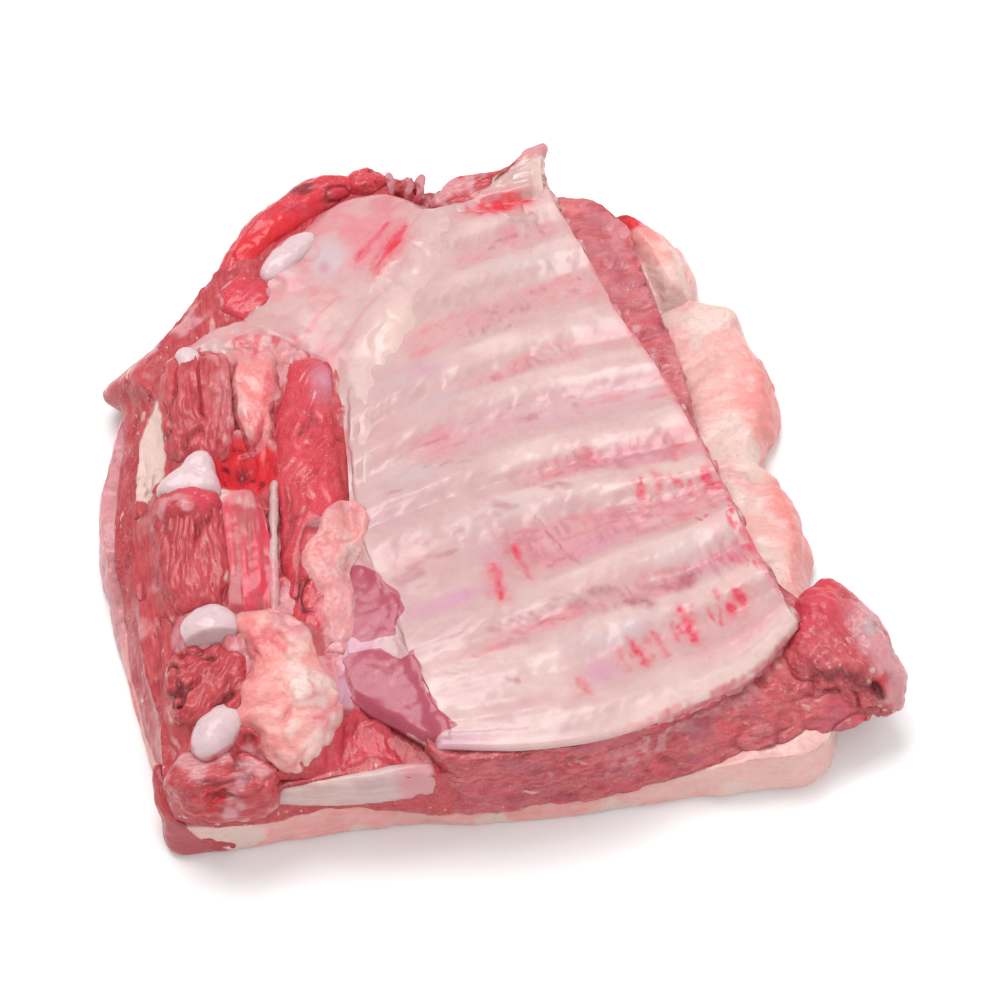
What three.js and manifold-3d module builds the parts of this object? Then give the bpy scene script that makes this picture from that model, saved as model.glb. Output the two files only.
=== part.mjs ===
// A slab of raw pork spare ribs, lying on its fat side with the inside of the rib cage up.
// Millimetres, +Z up. +X runs from the backbone side to the belly side, +Y from the front cut to the back
// cut. The origin is the middle of the rectangle that the slab covers, on the surface that it lies on.
//
// The slab is built in the layers that a butcher cuts through, from the bottom up: the fat, the loin and the
// belly muscle, and the rib sheet with the bones in it. The trimmed backbone side carries cartilage caps,
// bundles of muscle and lumps of fat. Each piece is hollowed where another lies in it, so the pieces meet
// face to face with a small gap.

import * as THREE from "three";
import { ParametricGeometry } from "three/addons/geometries/ParametricGeometry.js";
import { mergeVertices } from "three/addons/utils/BufferGeometryUtils.js";
import Module from "manifold-3d";

const wasm = await Module();
wasm.setup();

// ---- Driving dimensions -------------------------------------------------------------------------------

const GAP = 0.6; // how far a piece is swollen before its neighbour is hollowed by it
const FLATTEN = 0.1; // how far a piece's surface may move where small faces are merged
const FLATTEN_LAYER = 0.3; // the same for the broad layers
const FLAT_INSET = 7; // width of the rounded rim round the flat underside

const FAT_THIN = 8; // fat under the muscle
const FAT_BELLY = 21; // fat along the belly side, where the muscle doesn't cover it
const FAT_FRONT = 17; // fat on the front cut, below the bare bone
const FAT_LEFT = 19; // lip of fat outside the loin
const SUNK = 3; // how deep the muscles lie in the fat

const CHINE = 43; // trimmed top of the loin, which carries the backbone pieces
const FRONT_FALL = 8; // how much lower that top is at the front cut
const OUTER_FALL = 7; // and along the outer edge of the backbone side
const UNDER_SHEET = 37; // top of both muscles where the rib sheet begins
const BELLY_STRIP = 29; // top of the muscle that shows beyond the sawn ribs

const SHEET_LEFT = 48; // top of the rib sheet at the backbone side
const SHEET_RIGHT = 40; // and at the sawn side
const THICK_LEFT = 12.5; // thickness of the rib sheet at the backbone side
const THICK_RIGHT = 10.5; // and at the sawn side
const BOWL = 2.2; // how far the middle of the sheet sags, as the inside of the rib cage does
const RIB_RISE = 2.6; // how far a rib stands up from the muscle between the ribs
const RIB_CREST = 0.013; // half the width of a rib's flat crest, as a share of the sheet's length
const RIB_FOOT = 0.045; // half the width at its foot
const RIB_WIDTH = 11;
const RIB_THICKNESS = 6.5;
const RIB_COVER = 1.6; // membrane and muscle over a bone
const RIB_START = 0.06; // where the bones begin, as a share of the way from the backbone side to the saw cut

// Where each rib lies at the backbone side, in the middle and at the saw cut, as shares of the way from the
// front cut to the back cut.
const RIBS = [
  [0.024, 0.05, 0.03],
  [0.1, 0.165, 0.105],
  [0.17, 0.252, 0.225],
  [0.345, 0.408, 0.31],
  [0.415, 0.487, 0.43],
  [0.505, 0.608, 0.54],
  [0.59, 0.69, 0.66],
  [0.76, 0.838, 0.81],
  [0.9, 0.936, 0.93],
];

const COLOUR = {
  fat: 0xf0c2b4,
  lean: 0xc25a60,
  fresh: 0xd23c46,
  membrane: 0xe4bfba,
  fascia: 0xb95f74,
  bone: 0xd8bdb4,
  cartilage: 0xe6d3d6,
};

// ---- Curves and small helpers -------------------------------------------------------------------------

const { clamp, degToRad, lerp, smoothstep } = THREE.MathUtils;
const TURN = 2 * Math.PI;

// 0 at both ends, 1 in the middle; lower powers make it blunter, and the ends stay exactly 0.
const arch = (v, power = 1) => (v <= 0 || v >= 1 ? 0 : Math.sin(Math.PI * v) ** power);

// A smooth curve through points; the function gives its point for t from 0 to 1.
function curve(points, closed = false) {
  const through = points.map(([x, y, z = 0]) => new THREE.Vector3(x, y, z));
  const line = new THREE.CatmullRomCurve3(through, closed, "centripetal");
  return (t) => line.getPointAt(closed ? ((t % 1) + 1) % 1 : clamp(t, 0, 1));
}

// Six times the volume inside a closed geometry; it is negative where the faces point inwards.
function signedVolume(geometry) {
  const { position } = geometry.attributes;
  const corners = [new THREE.Vector3(), new THREE.Vector3(), new THREE.Vector3()];
  let sum = 0;
  for (let i = 0; i < geometry.index.count; i += 3) {
    corners.forEach((corner, k) => corner.fromBufferAttribute(position, geometry.index.getX(i + k)));
    sum += corners[0].dot(corners[1].cross(corners[2]));
  }
  return sum;
}

// A closed surface from a function of its two parameters, as one indexed geometry. The seam and the two
// ends meet in shared vertices, the triangles that collapse there are dropped, and the faces point out.
function closedSurface(pointAt, around, along) {
  const raw = new ParametricGeometry((u, v, target) => target.copy(pointAt(u, v)), around, along);
  raw.deleteAttribute("normal");
  raw.deleteAttribute("uv");
  const merged = mergeVertices(raw, 1e-3);
  const index = [];
  for (let i = 0; i < merged.index.count; i += 3) {
    const [a, b, c] = [0, 1, 2].map((k) => merged.index.getX(i + k));
    if (a !== b && b !== c && c !== a) index.push(a, b, c);
  }
  merged.setIndex(index);
  if (signedVolume(merged) < 0) merged.setIndex(index.reverse());
  return merged;
}

// ---- From geometry to solids and back -----------------------------------------------------------------

function solidOf(geometry) {
  return new wasm.Manifold(
    new wasm.Mesh({
      numProp: 3,
      vertProperties: geometry.attributes.position.array,
      triVerts: new Uint32Array(geometry.index.array),
    }),
  );
}

// The same surface moved outwards, to hollow a neighbour with a gap to spare.
function swollen(geometry, distance) {
  const wide = geometry.clone();
  wide.computeVertexNormals();
  const { position, normal } = wide.attributes;
  const point = new THREE.Vector3();
  const out = new THREE.Vector3();
  for (let i = 0; i < position.count; i++) {
    point.fromBufferAttribute(position, i).addScaledVector(out.fromBufferAttribute(normal, i), distance);
    position.setXYZ(i, point.x, point.y, point.z);
  }
  return wide;
}

// The largest body of a cut solid. Scraps fall away, and so do pinched-off hollows.
function largestBody(solid) {
  return solid.decompose().reduce((best, body) => (body.volume() > best.volume() ? body : best));
}

function geometryOf(solid) {
  const { numProp, vertProperties, triVerts } = solid.getMesh();
  const geometry = new THREE.BufferGeometry();
  const position = new Float32Array((vertProperties.length / numProp) * 3);
  for (let i = 0; i < position.length / 3; i++) {
    position.set(vertProperties.subarray(i * numProp, i * numProp + 3), i * 3);
  }
  geometry.setAttribute("position", new THREE.BufferAttribute(position, 3));
  geometry.setIndex(new THREE.BufferAttribute(triVerts, 1));
  geometry.computeVertexNormals();
  return geometry;
}

// ---- Kinds of shape -----------------------------------------------------------------------------------

// A layer of meat or fat inside a closed outline. Its surface runs in rings from the middle of the
// underside out to the rim, up the side and back to the middle of the top. slant(x, y) is how far the side
// leans in on its way up; top(x, y) and base(x, y) are heights. A bulge of 1 makes the side straight.
function layer({ outline, heart, slant, top, base, around, bulge = 1.35 }) {
  const edge = curve(outline, true);
  const foot = 0.2;
  const wall = [0.15, 0.4, 0.7, 1];
  const rings = [
    { share: 1, rise: 0 },
    { share: 0.5, rise: 0 },
    { inset: FLAT_INSET, rise: 0 },
    { inset: 1.5, rise: 0.05 },
    { inset: 0, rise: foot },
    ...wall.map((k) => ({ lean: k, rise: foot + (1 - foot) * (1 - (1 - k) ** bulge) })),
    { across: 0.3, rise: 1 },
    { across: 0.65, rise: 1 },
    { share: 1, rise: 1 },
  ];
  const pointAt = (u, v) => {
    const rim = edge(u);
    const ring = rings[Math.round(v * (rings.length - 1))];
    const reach = Math.hypot(rim.x - heart[0], rim.y - heart[1]);
    const lean = slant(rim.x, rim.y);
    let share = ring.share ?? (ring.inset ?? (ring.lean ?? 1) * lean) / reach;
    if (ring.across) share = lerp(share, 1, ring.across);
    const x = lerp(rim.x, heart[0], share);
    const y = lerp(rim.y, heart[1], share);
    return new THREE.Vector3(x, y, lerp(base(x, y), top(x, y), ring.rise));
  };
  return closedSurface(pointAt, around, rings.length - 1);
}

// A bundle of muscle, a strip of fat or a bone: an oval section carried along a path, with rounded ends.
// wide and high are its full width and height; ends near 0 makes them blunt, near 1 pointed; taper is the
// share of the section that is left at the start of the path.
function bundle({ path, wide, high, ends = 0.5, taper = 1, sides = 10, steps = 7, waves = 0, sway = 0 }) {
  const line = curve(path);
  const pointAt = (u, v) => {
    const at = (1 - Math.cos(Math.PI * v)) / 2;
    const ahead = line(Math.min(at + 0.02, 1)).sub(line(Math.max(at - 0.02, 0))).normalize();
    const side = new THREE.Vector3(-ahead.y, ahead.x, 0).normalize();
    const up = new THREE.Vector3().crossVectors(ahead, side);
    const full = arch(v, ends * 0.8 + 0.2) * lerp(taper, 1, at);
    const ripple = 1 + sway * Math.sin(waves * TURN * at);
    const angle = -TURN * u;
    return line(at)
      .addScaledVector(side, (wide / 2) * full * ripple * Math.cos(angle))
      .addScaledVector(up, (high / 2) * full * Math.sin(angle));
  };
  return closedSurface(pointAt, sides, steps);
}

// A rounded lump: an ellipsoid, turned in plan, with lobes round its side.
function lump({ at, size, turn = 0, lobes = 0, depth = 0, sides = 12, steps = 5 }) {
  const pointAt = (u, v) => {
    const round = -TURN * u;
    const polar = Math.PI * v;
    const ring = arch(v) * (1 + depth * Math.cos(lobes * round));
    const local = new THREE.Vector3(
      (size[0] / 2) * ring * Math.cos(round),
      (size[1] / 2) * ring * Math.sin(round),
      (-size[2] / 2) * Math.cos(polar),
    );
    local.applyAxisAngle(new THREE.Vector3(0, 0, 1), degToRad(turn));
    return local.add(new THREE.Vector3(...at));
  };
  return closedSurface(pointAt, sides, steps);
}

// A cushion of meat or fat: a closed outline in plan, domed above and below between two heights. square
// below 1 makes it fuller towards its rim. tilt is how much higher it lies for each millimetre along y.
// Its rings lie closer together on the upper side, which shows.
function cushion({ outline, heart, low, high, square = 0.6, tilt = 0, around = 14 }) {
  const edge = curve(outline, true);
  const rings = [0, 0.33, 0.5, 0.62, 0.75, 0.88, 1];
  const pointAt = (u, v) => {
    const rim = edge(u);
    const place = rings[Math.round(v * (rings.length - 1))];
    const ring = arch(place, square);
    const y = lerp(heart[1], rim.y, ring);
    const z = lerp(low, high, (1 - Math.cos(Math.PI * place)) / 2) + tilt * (y - heart[1]);
    return new THREE.Vector3(lerp(heart[0], rim.x, ring), y, z);
  };
  return closedSurface(pointAt, around, rings.length - 1);
}

// ---- The layers ---------------------------------------------------------------------------------------

const fatOutline = [
  [-108, -148], [-85, -148], [-51, -141], [-13, -138], [22, -135], [57, -129], [92, -125], [115, -121],
  [122, -110], [120, -75], [117, -41], [119, -26], [117, -12], [111, 2], [104, 9], [106, 20], [111, 36],
  [111, 50], [107, 62], [101, 75], [98, 86], [88, 90], [81, 93], [82, 106], [77, 120], [64, 131], [47, 133],
  [32, 136], [12, 140], [-10, 139], [-30, 134], [-47, 138], [-60, 136], [-78, 127], [-92, 114],
  [-104, 100], [-114, 83], [-128, 65], [-140, 47], [-139, 36], [-141, 20], [-144, -8], [-142, -30],
  [-135, -56], [-127, -85], [-120, -107], [-113, -128],
];

const loinOutline = [
  [-106, -145], [-85, -147], [-51, -141], [-8, -137], [-7, -60], [-7, 20], [-8, 100], [-14, 126],
  [-32, 127], [-46, 140], [-60, 137], [-78, 127], [-92, 113], [-104, 99], [-116, 82], [-131, 65],
  [-146, 45], [-138, 33], [-135, 15], [-136, -6], [-135, -28], [-131, -52], [-126, -82], [-119, -106],
  [-112, -126],
];

const bellyOutline = [
  [-18, -137], [22, -135], [39, -132], [56, -128], [74, -124], [94, -118], [110, -114], [122, -111],
  [134, -105], [136, -94], [126, -78], [108, -66], [99, -45], [90, -17], [81, 11], [75, 44], [70, 64],
  [65, 79], [60, 98], [54, 118], [44, 130], [29, 133], [10, 138], [-10, 138], [-18, 134], [-18, 60],
  [-18, -40],
];

function fatTop(x, y) {
  const belly = (FAT_BELLY - FAT_THIN) * smoothstep(x, 40, 100);
  const front = (FAT_FRONT - FAT_THIN) * smoothstep(-y, 105, 130) * (1 - smoothstep(x, -40, 15));
  const left = (FAT_LEFT - FAT_THIN) * smoothstep(-x, 118, 136) * (1 - smoothstep(Math.abs(y + 5), 25, 60));
  return FAT_THIN + Math.max(belly, front, left);
}

const muscleBase = (x, y) => fatTop(x, y) - SUNK;

function loinTop(x, y) {
  const front = FRONT_FALL * smoothstep(-y, 95, 140);
  const outer = OUTER_FALL * smoothstep(-x, 96, 124);
  const back = OUTER_FALL * smoothstep(y, 85, 125);
  return lerp(CHINE - front - Math.max(outer, back), UNDER_SHEET, smoothstep(x, -62, -42));
}

// The height falls evenly from the backbone side to the strip beyond the sawn ribs.
function bellyTop(x, y) {
  return lerp(UNDER_SHEET, BELLY_STRIP, smoothstep(x + 0.4 * y, -40, 110));
}

const fat = layer({
  outline: fatOutline,
  heart: [-5, 0],
  slant: (x, y) => 3 + 7 * smoothstep(x, 60, 100) * smoothstep(y, -100, -40),
  top: fatTop,
  base: () => 0,
  around: 52,
  bulge: 2,
});

// The loin leans in along its left and back sides and is cut upright at the front.
const loin = layer({
  outline: loinOutline,
  heart: [-70, -5],
  slant: (x, y) => 2 + 18 * smoothstep(-x, 45, 85) * smoothstep(y, -135, -95),
  top: loinTop,
  base: muscleBase,
  around: 36,
});

// The front of the belly muscle slopes from the last rib down to the fat, more and more to the right.
const belly = layer({
  outline: bellyOutline,
  heart: [25, 20],
  slant: (x, y) => 3 + 15 * smoothstep(x, 25, 85) * (1 - smoothstep(y, -110, -90)),
  top: bellyTop,
  base: muscleBase,
  around: 36,
});

// ---- The rib sheet ------------------------------------------------------------------------------------

const sheetFront = curve([
  [-16, -133], [11, -133], [38, -128], [55, -121], [72, -111], [90, -100], [108, -78],
]);
const sheetBack = curve([[-34, 104], [-22, 111], [-7, 118], [6, 127], [21, 139]]);
const sheetLeft = curve([
  [-16, -133], [-20, -114], [-28, -97], [-32, -79], [-43, -54], [-48, -24], [-51, 12], [-49, 43], [-42, 78],
  [-34, 104],
]);
const sheetRight = curve([
  [108, -78], [98, -52], [92, -37], [84, -14], [74, 12], [62, 40], [48, 66], [37, 95], [27, 117], [21, 139],
]);

// A point of the sheet in plan, blended from its four edge curves: along the ribs by u from the backbone side
// to the saw cut, across them by v from the front cut to the back cut.
function sheetPlan(u, v) {
  const corner = (right, back) => (right ? sheetRight : sheetLeft)(back);
  const along = sheetFront(u).multiplyScalar(1 - v).addScaledVector(sheetBack(u), v);
  const across = sheetLeft(v).multiplyScalar(1 - u).addScaledVector(sheetRight(v), u);
  const flat = corner(0, 0)
    .multiplyScalar((1 - u) * (1 - v))
    .addScaledVector(corner(1, 0), u * (1 - v))
    .addScaledVector(corner(0, 1), (1 - u) * v)
    .addScaledVector(corner(1, 1), u * v);
  return along.add(across).sub(flat);
}

// The ribs arch across the sheet. A line that has the place w in the middle of the sheet runs between the
// ribs on both its sides and has the place v where the share u of its length has gone by.
function archedPlace(u, w) {
  const lines = [[0, 0, 0], ...RIBS, [1, 1, 1]];
  const next = Math.max(lines.findIndex((line) => line[1] >= w), 1);
  const share = (w - lines[next - 1][1]) / (lines[next][1] - lines[next - 1][1]);
  const [left, middle, right] = [0, 1, 2].map((k) => lerp(lines[next - 1][k], lines[next][k], share));
  return left * (1 - u) * (1 - 2 * u) + middle * 4 * u * (1 - u) + right * u * (2 * u - 1);
}

// The top of the sheet: rounded ridges over the ribs, and the muscle between them lower.
function sheetTop(u, w) {
  const nearest = Math.min(...RIBS.map((rib) => Math.abs(w - rib[1])));
  const ridge = 1 - smoothstep(nearest, RIB_CREST, RIB_FOOT);
  const bowl = BOWL * arch(u) * arch(w);
  return lerp(SHEET_LEFT, SHEET_RIGHT, smoothstep(u, 0, 1)) - bowl + RIB_RISE * (ridge - 1);
}

function sheetBottom(u) {
  return lerp(SHEET_LEFT - THICK_LEFT, SHEET_RIGHT - THICK_RIGHT, smoothstep(u, 0, 1));
}

// The rows of the sheet's surface: both edges of each crest, and the foot of each slope or, where two ribs
// lie close together, the middle between them.
function sheetRows() {
  const rows = [0];
  RIBS.forEach(([, w], i) => {
    rows.push(w - RIB_CREST, w + RIB_CREST);
    const next = RIBS[i + 1]?.[1] ?? 1;
    if (next - w > 2.4 * RIB_FOOT) rows.push(w + RIB_FOOT, next - RIB_FOOT);
    else rows.push((w + next) / 2);
  });
  return [...rows, 1];
}

// The sheet's surface goes over the top from the front to the back and returns underneath. The first and
// last columns close the ends.
function ribSheet() {
  const columns = 9;
  const over = sheetRows();
  const loop = [...over, ...over.toReversed()];
  const pointAt = (a, b) => {
    const column = Math.round(a * (columns + 2));
    const u = clamp((column - 1) / columns, 0, 1);
    const row = Math.round(b * loop.length) % loop.length;
    const w = loop[row];
    const point = sheetPlan(u, archedPlace(u, w));
    const closing = column === 0 || column === columns + 2;
    const [top, bottom] = [sheetTop(u, w), sheetBottom(u)];
    point.z = closing ? (top + bottom) / 2 : row < over.length ? top : bottom;
    return point;
  };
  return closedSurface(pointAt, columns + 2, loop.length);
}

// A rib bone follows its line through the sheet and is sawn off flush with the sheet's right edge.
function ribBone(w) {
  const stations = 5;
  const sides = 6;
  const middleAt = (u) => sheetPlan(u, archedPlace(u, w));
  const pointAt = (a, b) => {
    const station = Math.round(b * (stations + 2));
    const u = lerp(RIB_START, 1, clamp((station - 1) / stations, 0, 1));
    const point = middleAt(u);
    point.z = sheetTop(u, w) - RIB_COVER - RIB_THICKNESS / 2;
    const ahead = middleAt(Math.min(u + 0.02, 1)).sub(middleAt(u - 0.02)).normalize();
    const side = new THREE.Vector3(-ahead.y, ahead.x, 0);
    const closing = station === 0 || station === stations + 2;
    const size = closing ? 0 : lerp(0.75, 1, smoothstep(u, RIB_START, 0.3));
    const angle = -TURN * a;
    point.addScaledVector(side, (RIB_WIDTH / 2) * size * Math.cos(angle));
    point.z += (RIB_THICKNESS / 2) * size * Math.sin(angle);
    return point;
  };
  return closedSurface(pointAt, sides, stations + 2);
}

// ---- All pieces, the innermost first ------------------------------------------------------------------

const pieces = [];
const add = (name, colour, geometry, flatten = FLATTEN) => pieces.push({ name, colour, geometry, flatten });

// Cartilage caps of the backbone, from the front cut to the back.
add("cap_1", COLOUR.cartilage, lump({ at: [-91, -126, 43], size: [15, 23, 12], turn: -28 }));
add("cap_2", COLOUR.cartilage, lump({ at: [-95, -87, 47], size: [20, 20, 13], turn: 10 }));
add("cap_3", COLOUR.cartilage, lump({ at: [-102, -19, 48], size: [24, 17, 13], turn: 22 }));
add("cap_4", COLOUR.cartilage, lump({ at: [-110, 33, 45], size: [10, 14, 9], turn: 20 }));
add("cap_5", COLOUR.cartilage, lump({ at: [-76, 86, 44], size: [12, 30, 10], turn: -38 }));

RIBS.forEach((rib, i) => add(`rib_${i + 1}`, COLOUR.bone, ribBone(rib[1])));

add("fat_ribbon", COLOUR.fat, bundle({
  path: [[-42, -30, 47], [-52, -42, 50], [-58, -54, 50], [-55, -66, 50], [-51, -76, 50], [-55, -92, 46]],
  wide: 13, high: 9, ends: 0.2, waves: 3, sway: 0.15, steps: 12,
}));
add("rib_sheet", COLOUR.membrane, ribSheet());

// The bone that the front cut lays bare gets higher towards the ribs.
add("front_bone", COLOUR.bone, bundle({
  path: [[-72, -142, 28], [-54, -140.5, 28.5], [-36, -138.5, 29], [-17, -136, 30]],
  wide: 10, high: 21, ends: 0.02, taper: 0.5, sides: 8,
}));
add("tendon", COLOUR.membrane, cushion({
  outline: [[-96, -29], [-86, -24], [-79, -33], [-79, -57], [-80, -76], [-88, -76], [-91, -57]],
  heart: [-85, -50], low: 36, high: 48,
}));
add("white_strip", COLOUR.membrane, bundle({
  path: [[-76, -25, 45], [-75, -55, 46], [-73, -84, 44]],
  wide: 5, high: 6, ends: 0.2, sides: 6,
}));
add("tenderloin", COLOUR.fresh, bundle({
  path: [[-66, 36, 41], [-66, 5, 43], [-63, -30, 43.5], [-60, -62, 43], [-57, -92, 41]],
  wide: 24, high: 14, ends: 0.25,
}));
add("fat_lump", COLOUR.fat, cushion({
  outline: [
    [-88, -80], [-76, -77], [-62, -84], [-55, -98], [-49, -112], [-49, -124], [-56, -134], [-64, -139],
    [-74, -134], [-79, -127], [-85, -125], [-86, -112], [-81, -102], [-84, -92],
  ],
  heart: [-68, -108], low: 30, high: 51, tilt: 0.1, around: 20,
}));
add("fat_knob", COLOUR.fat, cushion({
  outline: [[-92, 32], [-83, 39], [-76, 27], [-74, 9], [-78, -8], [-86, -12], [-91, -4], [-89, 14]],
  heart: [-83, 12], low: 36, high: 51,
}));
add("fat_shelf", COLOUR.fat, cushion({
  outline: [[-107, 43], [-102, 53], [-90, 57], [-80, 52], [-76, 42], [-88, 40]],
  heart: [-91, 47], low: 34, high: 45, around: 12,
}));
add("shoulder", COLOUR.membrane, cushion({
  outline: [
    [-84, 64], [-77, 80], [-68, 103], [-56, 117], [-42, 121], [-27, 115], [-25, 94], [-30, 68], [-38, 43],
    [-46, 14], [-54, 28], [-64, 42], [-80, 46],
  ],
  heart: [-56, 72], low: 35, high: 45.6, square: 0.45, around: 16,
}));
add("chine_meat_1", COLOUR.lean, cushion({
  outline: [
    [-105, -141], [-101, -132], [-88, -129], [-74, -136], [-69, -143], [-77, -146], [-90, -147],
    [-100, -146],
  ],
  heart: [-88, -139], low: 22, high: 41, square: 0.5,
}));
add("chine_meat_2", COLOUR.lean, cushion({
  outline: [[-109, -108], [-106, -96], [-96, -93], [-86, -98], [-83, -111], [-87, -121], [-99, -121]],
  heart: [-96, -107], low: 34, high: 50,
}));
add("chine_meat_3", COLOUR.lean, cushion({
  outline: [
    [-118, -24], [-107, -19], [-97, -28], [-91, -46], [-89, -64], [-92, -78], [-104, -79], [-112, -69],
    [-117, -46],
  ],
  heart: [-103, -50], low: 36, high: 53, around: 16,
}));
add("chine_meat_4", COLOUR.lean, cushion({
  outline: [[-119, 32], [-107, 41], [-94, 34], [-91, 14], [-92, -6], [-101, -15], [-114, -8], [-119, 11]],
  heart: [-105, 12], low: 34, high: 50,
}));
add("chine_meat_5", COLOUR.fresh, cushion({
  outline: [[-100, 71], [-92, 78], [-83, 73], [-82, 61], [-91, 56], [-99, 61]],
  heart: [-91, 67], low: 33, high: 47, around: 12,
}));
add("rim_meat", COLOUR.fresh, bundle({
  path: [[-101, 76, 33], [-95, 92, 34], [-83, 105, 34], [-74, 117, 34], [-62, 128, 33], [-50, 131, 32]],
  wide: 14, high: 17, ends: 0.3, waves: 3, sway: 0.06,
}));
add("top_lump", COLOUR.fresh, lump({
  at: [-48, 131, 36], size: [16, 13, 11], turn: 10, lobes: 3, depth: 0.08, sides: 10,
}));
add("torn_edge", COLOUR.lean, lump({
  at: [-33, 128, 36], size: [13, 10, 9], lobes: 5, depth: 0.22, sides: 20, steps: 4,
}));
add("back_flap", COLOUR.lean, bundle({
  path: [[-21, 123, 37], [-8, 130, 38], [6, 134, 38], [15, 139, 39], [21, 146, 41]],
  wide: 13, high: 12, ends: 0.2, steps: 8,
}));
add("corner_roll", COLOUR.lean, cushion({
  outline: [
    [103, -70], [111, -57], [121, -52], [131, -58], [138, -68], [143, -82], [146, -96], [139, -104],
    [127, -104], [110, -101], [100, -88],
  ],
  heart: [122, -80], low: 4, high: 38, around: 18,
}));
add("belly_knob", COLOUR.fat, lump({
  at: [58, 122, 21], size: [28, 20, 14], turn: -30, lobes: 3, depth: 0.1,
}));
add("corner_meat", COLOUR.lean, bundle({
  path: [[-114, -124, 20], [-108, -139, 13], [-96, -144, 7], [-84, -144, 5]],
  wide: 9, high: 13, ends: 0.4, sides: 8,
}));
add("diaphragm", COLOUR.fascia, cushion({
  outline: [
    [-50, -57], [-40, -57], [-28, -70], [-26, -84], [-22, -95], [-14, -112], [-10, -124], [-18, -130],
    [-36, -118], [-48, -110], [-51, -85],
  ],
  heart: [-34, -90], low: 37, high: 44.5, square: 0.3,
}));
add("belly_muscle", COLOUR.lean, belly, FLATTEN_LAYER);
add("loin_muscle", COLOUR.lean, loin, FLATTEN_LAYER);
add("fat_cap", COLOUR.fat, fat, FLATTEN_LAYER);

// ---- Joining it all up --------------------------------------------------------------------------------

const slab = new THREE.Group();
slab.name = "pork_spare_ribs";
const laid = [];
for (const { name, colour, geometry, flatten } of pieces) {
  let solid = solidOf(geometry);
  for (const other of laid) solid = solid.subtract(other);
  solid = largestBody(solidOf(geometryOf(solid.simplify(flatten))));
  laid.push(solidOf(swollen(geometry, GAP)));
  const look = new THREE.MeshStandardMaterial({ color: colour, roughness: 0.4, metalness: 0 });
  const mesh = new THREE.Mesh(geometryOf(solid), look);
  mesh.name = name;
  slab.add(mesh);
}

export default slab;
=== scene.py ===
# %% [markdown]
# # Raw pork spare ribs
# A slab of spare ribs lies on its fat side, with the inside of the rib cage up. This lesson dresses the
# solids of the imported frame: each solid is replaced by a fine surface of the same form, with the fibres,
# folds and lobes that raw meat has, and with materials that paint it. Lengths in this file are in
# millimetres, as on the frame's drawing; only the last step to Blender turns them into metres.

import bpy
import numpy as np
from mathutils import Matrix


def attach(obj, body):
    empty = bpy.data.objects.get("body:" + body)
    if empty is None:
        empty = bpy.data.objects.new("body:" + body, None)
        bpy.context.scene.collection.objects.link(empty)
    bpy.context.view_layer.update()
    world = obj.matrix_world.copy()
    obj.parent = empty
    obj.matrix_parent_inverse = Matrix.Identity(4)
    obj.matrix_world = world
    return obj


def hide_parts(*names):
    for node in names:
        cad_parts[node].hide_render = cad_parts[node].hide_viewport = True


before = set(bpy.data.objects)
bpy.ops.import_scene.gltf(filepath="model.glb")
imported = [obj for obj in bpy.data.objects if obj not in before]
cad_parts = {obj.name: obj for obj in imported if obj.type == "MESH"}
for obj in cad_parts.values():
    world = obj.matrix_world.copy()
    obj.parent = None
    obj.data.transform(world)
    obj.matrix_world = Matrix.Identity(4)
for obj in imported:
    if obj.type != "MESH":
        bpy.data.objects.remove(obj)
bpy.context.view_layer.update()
MM = 0.001  # metres in a millimetre
WELD = 1e4  # points that lie in the same 1 / WELD of a millimetre are one point

# %% [markdown]
# ## Small tools for shapes
# A surface here is worked out as one array of points, so the helpers take whole arrays. The first few
# blend values; raw meat has no straight edges, so smooth blends are used everywhere.

# %% Blends
TURN = 2 * np.pi


def smooth(x, low, high):
    """0 below low, 1 above high, and 3 t squared - 2 t cubed between them."""
    t = np.clip((np.asarray(x, float) - low) / (high - low), 0, 1)
    return t * t * (3 - 2 * t)


def fall(x, low, high):
    """The other way round: 1 below low and 0 above high."""
    return 1 - smooth(x, low, high)


def between(a, b, share):
    """The value that lies the given share of the way from a to b."""
    return a + (b - a) * share


def arch(v, power=1.0):
    """The sine of half a turn to a power: 0 at both ends, 1 in the middle."""
    inside = np.clip(np.sin(np.pi * np.asarray(v, float)), 0, 1)
    return np.where((v <= 0) | (v >= 1), 0, inside**power)


def hill(points, at, radius, turn=0.0):
    """A round hill in plan, 1 at its middle: e to the minus squared distance over squared radius. radius may
    be two numbers, along and across a line that is turned by the given degrees."""
    along = np.array([np.cos(np.radians(turn)), np.sin(np.radians(turn))])
    across = np.array([-along[1], along[0]])
    away = points[:, :2] - np.array(at, float)[:2]
    radii = np.broadcast_to(radius, 2)
    return np.exp(-((away @ along / radii[0]) ** 2) - (away @ across / radii[1]) ** 2)


def within(points, outline, edge=1.0):
    """A patch inside an outline in plan, with a soft edge: the distance to the nearest side, taken negative
    where a line to the right crosses the outline an even number of times."""
    corners = np.array(outline, float)
    ahead = np.roll(corners, -1, axis=0) - corners + 1e-9
    away = points[:, None, :2] - corners
    share = np.clip((away * ahead).sum(-1) / (ahead**2).sum(-1), 0, 1)
    near = np.linalg.norm(away - share[..., None] * ahead, axis=-1).min(1)
    passed = (away[..., 1] < 0) != (away[..., 1] < ahead[..., 1])
    crossed = passed & (away[..., 0] < ahead[..., 0] * away[..., 1] / ahead[..., 1])
    return smooth(np.where(crossed.sum(1) % 2, near, -near), -edge, edge)


print("blends ready")

# %% [markdown]
# Noise gives the unevenness. Blender's own noise lives in its shaders, but a shape needs noise in its
# points, so a small one is made here: random numbers at the corners of cubes, blended smoothly in between.
# Cubes that are stretched one way give fibres. The random numbers come from the cubes' own places and a
# seed, so each run gives the same slab.

# %% Noise
TWIST = np.linalg.qr(np.array([[0.8, -0.5, 0.33], [0.4, 0.83, 0.39], [-0.45, -0.2, 0.87]]))[0]


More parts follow.
